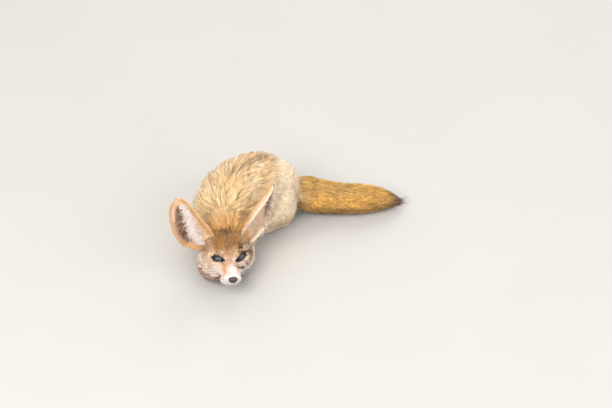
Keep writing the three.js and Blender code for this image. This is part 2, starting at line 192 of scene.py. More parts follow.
# Materials
def makeMaterial(name, roughness, build, **finish):
    material = bpy.data.materials.new(name)
    material.use_nodes = True
    shader = material.node_tree.nodes["Principled BSDF"]
    shader.inputs["Roughness"].default_value = roughness
    build(material.node_tree, shader, **finish)
    return material


# a new node with its sockets set, or joined to another node or its socket
def link(tree, kind, inputs, **options):
    node = tree.nodes.new(kind)
    for key, value in options.items():
        setattr(node, key, value)
    for key, value in inputs.items():
        if isinstance(value, bpy.types.Node):
            value = value.outputs[0]
        if isinstance(value, bpy.types.NodeSocket):
            tree.links.new(value, node.inputs[key])
        else:
            node.inputs[key].default_value = value
    return node


def noiseOver(tree, grain, detail):
    place = link(tree, "ShaderNodeTexCoord", {}).outputs["Object"]
    noise = link(tree, "ShaderNodeTexNoise", {"Vector": place, "Scale": grain, "Detail": detail})
    return noise.outputs["Fac"]


# joins a colour and a bump to the shader, and sets its plain sockets
def finishShader(tree, shader, colour, bump, **values):
    tree.links.new(colour, shader.inputs["Base Color"])
    if bump:
        tree.links.new(bump.outputs["Normal"], shader.inputs["Normal"])
    for label, value in values.items():
        shader.inputs[label].default_value = value


# the piece's own colours, a little lighter and darker from place to place, with a fine bump
def colouredFinish(tree, shader, grain=900, depth=0.25, vary=0.12, reach=0.0004, **values):
    colours = link(tree, "ShaderNodeVertexColor", {}, layer_name="coatColour").outputs["Color"]
    noise = noiseOver(tree, grain, 3.0)
    span = {"Value": noise, "From Min": 0.3, "From Max": 0.7, "To Min": 1 - vary, "To Max": 1 + vary}
    light = link(tree, "ShaderNodeMapRange", span).outputs["Result"]
    mixed = link(tree, "ShaderNodeVectorMath", {0: colours, "Scale": light}, operation="SCALE")
    bump = link(tree, "ShaderNodeBump", {"Strength": depth, "Distance": reach, "Height": noise})
    finishShader(tree, shader, mixed.outputs["Vector"], bump, **values)


def noseFinish(tree, shader):
    place = link(tree, "ShaderNodeTexCoord", {}).outputs["Object"]
    colours = link(tree, "ShaderNodeVertexColor", {}, layer_name="coatColour").outputs["Color"]
    cells = link(tree, "ShaderNodeTexVoronoi", {"Vector": place, "Scale": 1500.0}).outputs["Distance"]
    bump = link(tree, "ShaderNodeBump", {"Strength": 0.5, "Distance": 0.0004, "Height": cells})
    finishShader(tree, shader, colours, bump, **{"Coat Weight": 0.35, "Coat Roughness": 0.3})


# one colour that varies from place to place between a darker and a lighter share of itself
def speckledFinish(tree, shader, colour, vary=0.25, grain=700.0, detail=2.0):
    shade = link(tree, "ShaderNodeMix", {"Factor": noiseOver(tree, grain, detail)}, data_type="RGBA")
    shade.inputs["A"].default_value = (*tone(colour) * (1 - vary), 1)
    shade.inputs["B"].default_value = (*tone(colour) * (1 + vary), 1)
    finishShader(tree, shader, shade.outputs["Result"], None)


hairGloss = {"Sheen Weight": 0.12, "Sheen Roughness": 0.4, "Specular IOR Level": 0.25}
eyeGloss = {"Coat Weight": 1.0, "Coat Roughness": 0.03}
skinMaterial = makeMaterial("shortFurSkin", 0.85, colouredFinish)
hairMaterial = makeMaterial("foxHair", 0.6, colouredFinish, grain=260, depth=0.1, vary=0.07, **hairGloss)
eyeMaterial = makeMaterial("wetEye", 0.12, colouredFinish, grain=700, depth=0.0, vary=0.15, **eyeGloss)
noseMaterial = makeMaterial("noseLeather", 0.42, noseFinish)
rimMaterial = makeMaterial("darkRim", 0.4, colouredFinish)
clawMaterial = makeMaterial("clawHorn", 0.35, speckledFinish, colour="4a3b30")
whiskerMaterial = makeMaterial("whiskerHair", 0.4, speckledFinish, colour="2a221e")

# Limbs: round forms along a smooth path. Each has its coat, how deep the skin lies in it, how blunt
# its two ends are, and stations of a centre, a half width and a half height.
bodyPlan = {
    "torso": ("back", 7, (0.14, 0.12), [
        (96, 30, 44, 28, 32), (66, 27, 54, 46, 53), (33, 15, 60.5, 54, 62),
        (6, -6, 61.5, 55, 63), (-9, -34, 56.5, 52, 57.5), (-13, -66, 50, 40, 42),
    ]),
    "neck": ("nape", 5.5, (0.2, 0.2), [
        (-11, -46, 62, 36, 36), (-10, -66, 57, 36, 34), (-8, -84, 51, 33, 29), (-7, -102, 47, 27, 24),
    ]),
    "throat": ("throat", 3, (0.25, 0.3), [
        (-11, -44, 44, 34, 32), (-9, -70, 36, 30, 27), (-7, -96, 32, 24, 20),
    ]),
    "thighLeft": ("haunch", 4, (0.24, 0.25), [
        (92, 16, 50, 14, 28), (72, 6, 46, 27, 43), (40, -6, 38, 26, 37), (8, -16, 26, 18, 24),
    ]),
    "thighRight": ("haunch", 4, (0.24, 0.25), [
        (90, 42, 52, 14, 30), (66, 52, 48, 26, 44), (32, 54, 40, 25, 38), (-4, 44, 27, 18, 24),
    ]),
    "belly": ("belly", 3, (0.3, 0.3), [
        (64, 28, 20, 30, 20), (34, 20, 20, 33, 22), (4, -4, 20, 38, 22), (-9, -40, 19, 34, 19.5),
    ]),
    "tail": ("brush", 8, (0.05, 0.08), [
        (76, 33, 48, 27, 28), (92, 34, 43.5, 28, 29), (114, 36.5, 34, 27.5, 28.5),
        (152, 36.5, 26.5, 25.5, 26.5), (200, 38, 23, 23, 23.5), (236, 41, 18, 15, 15.5), (261, 43, 13, 5, 5),
    ]),
}
headPlan = {
    "skull": ("face", 1.8, (0.16, 0.16), [
        (0, -9, -1, 13, 9), (0, 6, 2, 23, 18), (0, 22, 2, 31, 24), (0, 40, -1, 33, 26), (0, 58, -9, 25, 24),
    ]),
    "muzzle": ("muzzle", 1.0, (0.16, 0.1), [
        (0, 12, -11, 24, 20), (0, -8, -12.5, 19, 15), (0, -24, -15.5, 14.5, 11),
        (0, -35, -15.5, 11.5, 9), (0, -43.5, -15.3, 7.8, 7),
    ]),
    "jaw": ("jaw", 1.2, (0.16, 0.16), [
        (0, 16, -31, 20, 10), (0, -4, -31, 14, 8), (0, -20, -28.5, 9.5, 6.5), (0, -32, -25.5, 6.5, 5),
    ]),
}
limbSettings = {"rings": 72, "turns": 30, "thinnest": 2.2}


# Catmull-Rom through the stations
def smoothPath(stations, shares):
    stations = np.asarray(stations, float)
    padded = np.vstack([2 * stations[0] - stations[1], stations, 2 * stations[-1] - stations[-2]])
    reach = np.clip(shares, 0, 1) * (len(stations) - 1)
    i = np.minimum(reach.astype(int), len(stations) - 2)
    f = (reach - i)[:, None]
    a, b, c, d = padded[i], padded[i + 1], padded[i + 2], padded[i + 3]
    return 0.5 * (2 * b + (c - a) * f + (2 * a - 5 * b + 4 * c - d) * f**2 + (3 * b - a - 3 * c + d) * f**3)


def makeLimb(kind, inset, blunt, stations, inHead=False):
    shares = 0.5 - 0.5 * np.cos(np.linspace(0, np.pi, limbSettings["rings"]))
    values = smoothPath(stations, shares)
    step = smoothPath(stations, shares + 0.01) - smoothPath(stations, shares - 0.01)
    along = unit(step[:, :3])
    across = unit(np.cross((0, 0, 1), along))
    over = np.cross(along, across)
    centre = values[:, :3]
    if inHead:
        centre = fromHead(centre)
        along, across, over = along @ headTurn.T, across @ headTurn.T, over @ headTurn.T
    nearEnd = np.minimum(np.minimum(shares / blunt[0], (1 - shares) / blunt[1]), 1)
    size = np.maximum(values[:, 3:] - inset, limbSettings["thinnest"])
    rounding = np.sqrt(np.maximum(0, 1 - (1 - nearEnd) ** 2))
    limb = {"kind": kind, "shares": shares, "centre": centre, "size": size, "round": rounding}
    return {**limb, "along": along, "across": across, "over": over}


def makeBall(kind, inset, centre, radii):
    x, y, z = centre
    rx, ry, rz = radii
    stations = [(x, y - ry + inset, z, rx, rz), (x, y + ry - inset, z, rx, rz)]
    return makeLimb(kind, inset, (0.5, 0.5), stations, inHead=True)


# faces between rings of points, each ring joined to the next
def ringFaces(rings, turns, closed=False):
    faces = []
    for r in range(rings if closed else rings - 1):
        row, nextRow = r * turns, (r + 1) % rings * turns
        for k in range(turns):
            j = (k + 1) % turns
            faces.append((row + k, row + j, nextRow + j, nextRow + k))
    return faces


def endCaps(rings, turns):
    return [tuple(range(turns))[::-1], tuple(range((rings - 1) * turns, rings * turns))]


def limbShell(limb):
    turns = limbSettings["turns"]
    rings = slice(1, -1)
    angle = np.arange(turns) / turns * 2 * np.pi
    size = limb["size"][rings] * limb["round"][rings, None]
    verts = (
        limb["centre"][rings, None]
        + limb["across"][rings, None] * (np.cos(angle)[None] * size[:, :1])[..., None]
        + limb["over"][rings, None] * (np.sin(angle)[None] * size[:, 1:])[..., None]
    ).reshape(-1, 3)
    first, last, lastRing = len(verts), len(verts) + 1, len(verts) - turns
    faces = ringFaces(len(size), turns)
    for k in range(turns):
        j = (k + 1) % turns
        faces += [(first, j, k), (last, lastRing + k, lastRing + j)]
    return np.vstack([verts, limb["centre"][:1], limb["centre"][-1:]]), faces


# The feet: a sole and four toes, spread a little, each with a claw
footSettings = {"toes": 4, "height": 14, "spread": 1.75, "claw": 1.5}
feet = table("heel toes width", {
    "forepawLeft": ((10, -88, 7.5), (6, -110, 6.2), 9),
    "forepawRight": ((-27, -88, 7.5), (-20, -110, 6.2), 9),
    "hindFootLeft": ((86, 7, 7.6), (34, -22, 6), 9.5),
    "hindFootRight": ((74, 62, 7.6), (-10, 58, 6), 9.5),
})
claws = []


def footLimbs(heel, toes, width):
    start, end = np.array(heel, float), np.array(toes, float)
    along = unit(end - start)
    across = unit(np.cross((0, 0, 1), along))
    front = start + (end - start) * (1 - 7 / np.linalg.norm(end - start))
    tall = footSettings["height"]
    middle = (start + end) / 2
    sole = [(*start, width * 0.8, tall * 0.62), (*middle, width * 0.85, tall * 0.52)]
    sole.append((*front, width, tall * 0.48))
    made = [makeLimb("paw", 1.0, (0.2, 0.2), sole)]
    for i in range(footSettings["toes"]):
        fan = i / (footSettings["toes"] - 1) - 0.5
        root = front + across * fan * width * 1.2 - along * 5
        tip = end + across * fan * width * footSettings["spread"] + along * (7 - 14 * fan * fan)
        root[2], tip[2] = 6, 3.7
        made.append(makeLimb("paw", 0.4, (0.3, 0.3), [(*root, 3.6, 4.4), (*tip, 3.4, 4.0)]))
        claws.append((tip + along * footSettings["claw"] + (0, 0, 0.3), along))
    return made


# the forelegs: an inset, and stations that start with the chest's middle and the way out from it
armPlan = (
    (2.5, ((-13, 22, -64, 60, 14, 22), (-13, 35, -60, 38, 15, 20), (-13, 38, -42, 18, 11, 14))),
    (1.5, ((-13, 37, -37, 12.5, 11, 13), (-12, 29, -56, 10, 10, 10.5), (-10, 18, -90, 8, 8, 8.5))),
)


def armLimbs(side):
    made = []
    for inset, stations in armPlan:
        stations = [(middle + side * out, *rest) for middle, out, *rest in stations]
        made.append(makeLimb("leg", inset, (0.25, 0.25), stations))
    return made


# the fox's left cheek is drawn in, its right one hangs
cheekStations = {
    -1: [(-9, -14, -18, 11, 11), (-19, 4, -23, 17, 18), (-26.5, 23, -25, 19, 20), (-26, 46, -17, 16, 19)],
    1: [(8.5, -14, -16, 10.5, 11), (13, 4, -17, 13.5, 17), (24, 24, -19, 17, 19.5), (26, 46, -17, 16, 19)],
}
lipPads = {-1: ((-8.2, -29.5, -19), (10.8, 11, 8)), 1: ((6.2, -31, -18), (8.8, 9.5, 7.5))}


def faceLimbs(side):
    temple = [(side * 13, -12, -7, 10, 11.5), (side * 20, 6, -5.5, 14.5, 17), (side * 25, 30, -8, 16, 20)]
    lidRadius = headSettings["eyeRadius"] + 1.3
    eye = (side * headSettings["eyeSpread"], headSettings["eyeBack"], 0)
    return [
        makeLimb("face", 1.8, (0.3, 0.3), temple, inHead=True),
        makeLimb("ruff", 4.5, (0.16, 0.16), cheekStations[side], inHead=True),
        makeBall("muzzle", 1.0, *lipPads[side]),
        makeBall("muzzle", 0.8, (side * 2.6, -39.8, -17.4), (5, 4.6, 4.6)),
        makeBall("face", 0, eye, (lidRadius,) * 3),
    ]


limbs = [makeLimb(*plan) for plan in bodyPlan.values()]
limbs += [makeLimb(*plan, inHead=True) for plan in headPlan.values()]
for _, side in sides:
    limbs += faceLimbs(side) + armLimbs(side)
for foot in feet.values():
    limbs += footLimbs(**foot)
torsoLimb, tailLimb = limbs[0], limbs[list(bodyPlan).index("tail")]
print("limbs", len(limbs))


# how far out of a limb points lie, at what share of its length, what turn round it and which ring
def limbFit(points, limb):
    centre = limb["centre"]
    j = ((centre**2).sum(1) - 2 * points @ centre.T).argmin(1)
    off = points - centre[j]
    sideways, upwards, forwards = ((off * limb[way][j]).sum(1) for way in ("across", "over", "along"))
    size = limb["size"][j] * np.maximum(limb["round"][j], 0.05)[:, None]
    ratio = np.hypot(sideways / size[:, 0], upwards / size[:, 1])
    out = np.hypot(sideways, upwards) * (1 - 1 / np.maximum(ratio, 1e-3))
    beyond = np.where((j == 0) | (j == len(centre) - 1), np.abs(forwards), 0)
    out = np.hypot(np.maximum(out, 0), beyond) + np.minimum(out, 0)
    return out, limb["shares"][j], np.arctan2(upwards / size[:, 1], sideways / size[:, 0]), j


# Coats by region: sizes and reach in mm, thick in tufts to a square cm, spread in degrees.
# way is 1 where hair runs with the limb's stations, reach is how far a region blends into the next.
coats = table("long high wide thick way droop clump spread reach tone", {
    "back": (24, 7.0, 1.2, 82, -1, 0.5, 0.75, 8, 9, "backCream"),
    "nape": (20, 5.5, 1.2, 84, -1, 0.3, 0.6, 7, 9, "napeGold"),
    "throat": (14, 3.5, 1.3, 45, -1, 0.3, 0.4, 8, 6, "belly"),
    "belly": (14, 3.0, 1.6, 24, -1, 0.5, 0.4, 8, 6, "belly"),
    "haunch": (12, 2.8, 1.15, 82, -1, 1.0, 0.25, 6, 7, "haunch"),
    "brush": (26, 7.0, 1.2, 86, 1, 0.0, 0.45, 8, 6, "brush"),
    "ruff": (15, 5.8, 0.95, 105, 1, 0.15, 0.75, 11, 4.5, "cheek"),
    "face": (7.5, 1.9, 0.75, 190, 1, 0.0, 0.45, 8, 4.5, "faceCream"),
    "muzzle": (3.4, 0.8, 0.55, 280, -1, 0.0, 0.1, 5, 4.5, "white"),
    "jaw": (6.5, 1.8, 0.7, 180, -1, 0.0, 0.2, 7, 4.5, "white"),
    "leg": (8, 2.0, 0.95, 80, 1, 0.2, 0.2, 7, 4.5, "leg"),
    "paw": (4.2, 1.0, 0.75, 135, 1, 0.0, 0.15, 7, 4.5, "paw"),
})
kindNames = list(coats)
rump = (34, 66)  # from and to, along X


def kindPart(kindWeights, *names):
    return sum(kindWeights[:, kindNames.index(name)] for name in names)


def kindBlend(kindWeights, key):
    return kindWeights @ np.array([coat[key] for coat in coats.values()])


def moveKind(kindWeights, giver, taker, share):
    moved = kindPart(kindWeights, giver) * share
    kindWeights[:, kindNames.index(giver)] -= moved
    kindWeights[:, kindNames.index(taker)] += moved


# the regions' say at each point and the lie of the hair there
def coatFit(points):
    weights = np.zeros((len(points), len(limbs)))
    lies = np.zeros((len(points), 3))
    for k, limb in enumerate(limbs):
        out, _, turn, j = limbFit(points, limb)
        coat = coats[limb["kind"]]
        weights[:, k] = np.exp(-((np.maximum(out, 0) / coat["reach"]) ** 2)) + 1e-9
        flow = coat["way"] * limb["along"][j] + (0, 0, -1) * (coat["droop"] * np.abs(np.cos(turn)))[:, None]
        if limb["kind"] in ("back", "nape"):  # the coat parts along the spine
            parting = 0.55 * np.tanh(3 * np.cos(turn)) * ramp(np.sin(turn), 0, 0.6)
            flow = flow + limb["across"][j] * parting[:, None]
        lies += weights[:, k, None] * flow
    weights /= weights.sum(1, keepdims=True)
    kindWeights = np.zeros((len(points), len(kindNames)))
    for k, limb in enumerate(limbs):
        kindWeights[:, kindNames.index(limb["kind"])] += weights[:, k]
    # the rump is as smooth as the haunches, and the crown's hair grows long behind the ears
    moveKind(kindWeights, "back", "haunch", ramp(points[:, 0], *rump) * 0.95)
    q = toHead(points)
    moveKind(kindWeights, "face", "nape", ramp(q[:, 1], 17, 36) * ramp(q[:, 2], -4, 8))
    return kindWeights, lies


# Eyes: frames that look the way each eye looks, and the almond between its lids
eyeSettings = {
    "halfLong": 9.5,
    "upper": 4.6,
    "lower": 3.6,
    "slant": {-1: 1.2, 1: 2.6},
    "shift": {-1: (0, 0), 1: (-1.5, -1.3)},
    "lidRadius": 9.0,
    "lidStretch": 1.25,
    "arch": 0.8,
    "ballDepth": 5.5,
}


def eyeFrame(side):
    aim = spin("z", side * headSettings["eyeTurn"][side]) @ spin("x", 90 - headSettings["eyeLift"])
    return np.array((side * headSettings["eyeSpread"], headSettings["eyeBack"], 0)), aim


def fromEye(local, side):
    middle, aim = eyeFrame(side)
    return fromHead(local @ aim.T + middle)


def toEye(points, side):
    middle, aim = eyeFrame(side)
    return (toHead(points) - middle) @ aim


# a point between the lids, at a turn round the almond and at shares of its size and of the lids' height
def lidPoint(side, turns, share, height):
    eye = eyeSettings
    x = np.cos(turns)
    lid = np.where(np.sin(turns) > 0, eye["upper"], eye["lower"])
    y = np.sign(np.sin(turns)) * lid * np.maximum(0, 1 - x * x) ** eye["arch"] + eye["slant"][side] * x
    x, y = x * eye["halfLong"] * share, y * share
    inner = ramp(-x, 6, eye["halfLong"]) * share  # the inner corner runs on towards the nose
    x, y = x - inner * 1.5 + eye["shift"][side][0], y - inner * 0.9 + eye["shift"][side][1]
    bulge = eye["lidRadius"] ** 2 - (x / eye["lidStretch"]) ** 2 - y**2
    return fromEye(np.column_stack([x * side, y, np.sqrt(np.maximum(4.0, bulge))]) * height, side)


# how far out of the almond a point is, 1 on its edge
def almondReach(points, side):
    eye = eyeSettings
    local = toEye(points, side)
    x = (local[:, 0] * side - eye["shift"][side][0]) / eye["halfLong"]
    y = local[:, 1] - eye["shift"][side][1] - eye["slant"][side] * x
    y = np.abs(y) / np.where(y > 0, eye["upper"], eye["lower"])
    reach = (y ** (1 / eye["arch"]) + x * x) ** 0.6
    return np.where((local[:, 2] > -1) & (np.linalg.norm(local, axis=1) < 22), reach, 9.0)


# Markings
tones = dict(
    backCream="fde6c0", backGold="f2c98b", backTop="e4ba84", streak="84643f", napeGold="dda04a",
    napePale="fadfac", flank="f9e2c2", haunch="ffebcc", haunchLowShade="bf9866", belly="f4e6d6",
    brush="eeb85c", brushTop="c8a05c", brushLow="86663e", brushTip="6a4830", faceCream="e9caa8",
    cheek="eedccf", forehead="b37c30", browStreak="6a4a2a", crown="704402", bridge="cfa57f",
    tear="e79e3e", white="f5e9e1", damp="3d281e", dampPink="c9a08c", jaw="9c6226", leg="f1d8b6",
    paw="f7ead9", lidDark="1c1514", irisWithSkyReflection="353448", pupil="161722", earTan="dcb080", earRim="efd3ab",
    earCavity="6c3e12", earFringe="fff1ea", earPink="efcdb2", earGold="d0923a", earPale="fff4e0",
    earLight="f4dcc8", earFringeWarmLight="ffe3cb", rim="1a1312", noseDark="241b1e", nostril="080506",
    noseShine="4a3a3c", lip="2b1c1a",
)
tones = {name: tone(code) for name, code in tones.items()}


# layers are masks with the name of the tone that each lays on
def painted(colours, *layers):
    for mask, name in layers:
        colours = colours + (tones[name] - colours) * np.clip(mask, 0, 1)[:, None]
    return colours


def spot(points, centre, radii):
    return np.exp(-((((points - centre) / radii) ** 2).sum(1)))


def stripe(points, start, end, radius):
    start, end = np.array(start, float), np.array(end, float)
    share = np.clip((points - start) @ (end - start) / ((end - start) ** 2).sum(), 0, 1)
    return bell(np.linalg.norm(points - (start + share[:, None] * (end - start)), axis=1), 0, radius)


def bodyMarkings(points, kindWeights, colours):
    back, brush, nape, haunch = (kindPart(kindWeights, name) for name in ("back", "brush", "nape", "haunch"))
    _, share, turn, _ = limbFit(points, torsoLimb)
    top = np.sin(turn)
    patch = waves(points, 46, 31) * 0.5 + waves(points, 17, 32) * 0.5
    spine = bell(turn, 1.62, 0.045) * ramp(share, 0.18, 0.3) * (1 - ramp(share, 0.62, 0.8))
    # the brush is pale above its root, dark at the root's band and the tip, and darker along the lower edge as
    # painted shade
    _, tailShare, tailTurn, _ = limbFit(points, tailLimb)
    up = np.sin(tailTurn)
    tailPatch = waves(points, 24, 35)
    band = bell(tailShare, 0.14, 0.07) * (1 - 0.6 * ramp(up, 0.75, 0.98))
    return painted(
        colours,
        (back * (0.5 + 0.45 * patch) * ramp(top, 0.0, 0.9), "backGold"),
        (back * ramp(top, 0.75, 1) * (1 - ramp(share, 0.25, 0.55)) * 0.5, "backTop"),
        (back * (1 - ramp(top, -0.2, 0.35)), "flank"),
        (back * ramp(share, 0.74, 0.95) * 0.85 * ramp(top, -0.1, 0.6), "napePale"),
        (back * ramp(share, 0.88, 1) * 0.4 * ramp(top, 0, 0.6), "napeGold"),
        (back * spine * 0.75, "streak"),
        (nape * ramp(-points[:, 1], 98, 66) * 0.95, "napePale"),
        # the haunches grow darker towards the floor: painted shade
        (haunch * (1 - ramp(points[:, 2], 12, 52)) * 0.75, "haunchLowShade"),
        (brush * ramp(up, 0.55, 0.95) * (1 - ramp(tailShare, 0.5, 0.8)) * 0.85, "brushTop"),
        # painted shade along the brush's lower edge
        (brush * (1 - ramp(up, -0.3, 0.5)) * (0.75 + 0.25 * tailPatch), "brushLow"),
        (brush * band * 0.85, "brushLow"),
        (brush * ramp(tailShare + 0.04 * tailPatch, 0.66, 0.9), "brushTip"),
    )


# wet streaks about the fox's left eye: from, to, radius and strength, in the head
dampStreaks = (
    ((8.4, 1.8, 15), (23.2, 8.5, 9.6), 1.3, 0.95),
    ((10, 7, 17), (20, 12, 13.5), 0.9, 0.5),
    ((13.6, -4.9, 8), (26.8, 4.4, 5), 1.0, 0.6),
    ((26.8, 4.4, 5), (33, 8, 0), 2.0, 1.0),
    ((29.1, 6.6, 5.4), (35.2, 13, -4.6), 2.2, 1.0),
    ((29.2, -0.2, 1.2), (33.5, 7.3, -9.1), 1.6, 0.9),
    ((26.6, -6.5, -3), (32, 1, -9), 1.3, 0.8),
    ((21.8, -10.4, -5), (26.8, -3.7, -12.6), 1.5, 0.9),
    ((14, -17.1, -8.9), (20, -10, -15), 1.9, 0.9),
    ((20, -10, -15), (23, -4, -18), 1.6, 0.8),
    ((5.8, -16.8, -2.5), (11.3, -20, -7.4), 1.8, 0.6),
    ((5.5, 4, 16.5), (6.5, 13, 20), 1.1, 0.6),
)
# streaks are measured mostly across the eye's own line of sight, so that they follow the brow
acrossSight = (1, 1, 0.2)


def streakLines():
    middle, aim = eyeFrame(1)
    for start, end, radius, strength in dampStreaks:
        ends = (np.array((start, end)) - middle) @ aim * acrossSight
        yield ends, np.subtract(end, start), radius, strength


# how wet the hair is, and the way it is drawn
def dampHair(points):
    q = toHead(points)
    flat = toEye(points, 1) * acrossSight
    wet = np.zeros(len(q))
    drawn = np.zeros((len(q), 3))
    for ends, way, radius, strength in streakLines():
        share = strength * stripe(flat, *ends, radius)
        wet = np.maximum(wet, share)
        drawn += share[:, None] * (unit(way) @ headTurn.T)
    near = (np.linalg.norm(q - eyeFrame(1)[0], axis=1) < 34) * (q[:, 0] > 2)
    return np.clip(wet * (0.85 + 0.5 * waves(q, 3.2, 61)), 0, 1) * near, drawn * near[:, None]


def faceMarkings(points, head, crown, colours):
    q = toHead(points)
    x, y, z = q.T
    wide = np.abs(x)
    both = np.column_stack([wide, y, z])
    centreLine = bell(wide, 0, 3) * ramp(y, -12, 0) * ramp(z, 2, 8)
    bridge = bell(wide, 0, 7) * ramp(-y, 0, 8) * (1 - ramp(-y, 18, 29)) * ramp(z, -14, -6)
    crown = crown * np.clip(spot(both, (0, 25, 23), (13, 6, 9)) * 1.6, 0, 1)
    jaw = ramp(-z, 20, 26) * ramp(y, -30, -18) * ramp(-x, -6, 2)
    tears = 0.9 + 0.25 * waves(q, 5, 63)
    return painted(
        colours,
        (head * (ramp(z, 2, 12) * (1 - ramp(wide, 15, 27)) * ramp(y, -14, -4)), "forehead"),
        (head * spot(both, (9, -6, 9), (6, 7, 5)) * 0.7, "faceCream"),
        (head * ramp(z, 0, 12) * ramp(wide, 20, 30) * 0.35, "forehead"),
        (head * ramp(y, 26, 42) * ramp(z, 0, 12), "napeGold"),
        (head * centreLine * 0.55, "browStreak"),
        (crown * (1 + 0.4 * waves(q * (1, 0.4, 0.4), 3.5, 62)), "crown"),
        (head * bridge * 0.9, "bridge"),
        (head * stripe(q, (1, -21, -6), (0.5, -36, -12), 5) * 0.85, "white"),
        (head * stripe(both, (16, -14, -12), (30, 4, -22), 7) * 0.7, "cheek"),
        (head * ramp(-y, 20, 30) * ramp(-z, 8, 14), "white"),
        (head * stripe(q, (-8.6, -13, -2), (-10.6, -27, -10), 4.6) * 0.95 * tears, "tear"),
        (head * stripe(q, (8.5, -20, -5), (9.5, -28, -9.5), 2.6) * tears * 0.6, "tear"),
        (head * stripe(q, (10, -16, -4), (26, -4, -9), 4) * 0.5, "dampPink"),
        (head * dampHair(points)[0] * 0.35, "damp"),
        (head * jaw * (0.85 + 0.5 * waves(q, 5, 64)), "jaw"),
        *[(head * (1 - ramp(almondReach(points, side), 1.12, 1.32)), "lidDark") for _, side in sides],
    )


def markings(points, kindWeights):
    colours = kindWeights @ np.array([tones[coat["tone"]] for coat in coats.values()])
    head = kindPart(kindWeights, "face", "muzzle", "jaw", "ruff")
    colours = bodyMarkings(points, kindWeights, colours)
    return faceMarkings(points, head, head + kindPart(kindWeights, "nape"), colours)


# The skin: every limb as one closed surface, its creases smoothed, the lids opened and the lips drawn in
skinSettings = {"voxel": 1.45, "smoothBody": 26, "smoothFace": 7, "pull": 0.6, "floorGap": 0.8, "shade": 0.86}
lipPath = [(4, -39, -23), (12, -29, -25), (17, -13, -26), (21.5, 4, -25.5)]


def readArray(items, key, width, kind=np.float32):
    values = np.empty(len(items) * width, kind)
    items.foreach_get(key, values)
    return values.reshape(-1, width)


def makeSkin():
    shells, faces, start = [], [], 0
    for limb in limbs:
        verts, shell = limbShell(limb)
        shells.append(verts)
        faces += [tuple(v + start for v in face) for face in shell]
        start += len(verts)
    skin = newShell("fox_skin", np.vstack(shells), faces)
    faceOutwards(skin)
    remesh = skin.modifiers.new("oneSurface", "REMESH")
    remesh.mode = "VOXEL"
    remesh.voxel_size = skinSettings["voxel"] / 1000
    bakeModifiers(skin)
    mesh = skin.data
    count = len(mesh.vertices)
    points = readArray(mesh.vertices, "co", 3).astype(float) * 1000 - groundShift
    one, two = readArray(mesh.edges, "vertices", 2, np.int32).T
    degree = np.bincount(one, minlength=count) + np.bincount(two, minlength=count)

    def relaxed(points):
        total = [np.bincount(one, p[two], count) + np.bincount(two, p[one], count) for p in points.T]
        return np.column_stack(total) / degree[:, None]

    fine = kindPart(coatFit(points)[0], "face", "muzzle", "jaw", "paw")
    for step in range(skinSettings["smoothBody"]):
        pull = np.where(step < skinSettings["smoothFace"], 1.0, 1 - ramp(fine, 0.1, 0.6))[:, None]
        points = points + (relaxed(points) - points) * (pull * skinSettings["pull"])
    # the skin lies on the lids' curve round each eye, and draws back behind the ball between them
    for _, side in sides:
        reach, local = almondReach(points, side), toEye(points, side)
        length = np.maximum(np.linalg.norm(local, axis=1), 1e-6)
        stretched = np.linalg.norm(local / (eyeSettings["lidStretch"], 1, 1), axis=1)
        onLid = eyeSettings["lidRadius"] / np.maximum(stretched, 1e-6)
        share = 1 + (onLid - 1) * (1 - ramp(reach, 1.25, 1.9))
        share = np.where(reach < 1.02, eyeSettings["ballDepth"] / length, share)
        points = fromEye(local * share[:, None], side)
    # a fold along the mouth
    q = toHead(points)
    both = np.column_stack([np.abs(q[:, 0]), q[:, 1], q[:, 2]])
    fold = sum(stripe(both, a, b, 1.6) for a, b in zip(lipPath, lipPath[1:]))
    inwards = unit(np.column_stack([-q[:, 0], q[:, 0] * 0, q[:, 0] * 0 - 4]))
    points = fromHead(q + inwards * (np.clip(fold, 0, 1) * 1.5)[:, None] * ramp(-q[:, 2], 18, 22)[:, None])
    points[:, 2] = np.maximum(points[:, 2], skinSettings["floorGap"])
    setPoints(mesh, points)
    mesh.update()
    # the skin is painted darker than the coat's markings by the shade factor: painted shade under the hair
    setColours(mesh, markings(points, coatFit(points)[0]) * skinSettings["shade"])
    mesh.shade_smooth()
    return skin, points


skin, skinPoints = makeSkin()
print("skin", len(skin.data.vertices), "points")


def pointTree(points):
    tree = KDTree(len(points))
    for k, point in enumerate(points):
        tree.insert(point, k)
    tree.balance()
    return tree


def flatOn(normals, lies):
    return unit(lies - normals * (lies * normals).sum(1)[:, None])


def swung(normals, lies, angle):
    return unit(lies * np.cos(angle)[:, None] + np.cross(normals, lies) * np.sin(angle)[:, None])


# Tufts: each a thin three-sided blade with its root in the skin, bent along the lie to a point.
tuftSettings = {
    "long": 12.5,  # a mean length above it gives each tuft one more bend
    "floor": 0.4,
    "depth": 0.6,
    "ridge": 0.55,
    "patch": 0.003,
    "perClump": 22,
    "mostTriangles": 190000,  # in one piece
}
bladeTurns = ((0, 1), (1, 2), (2, 0))


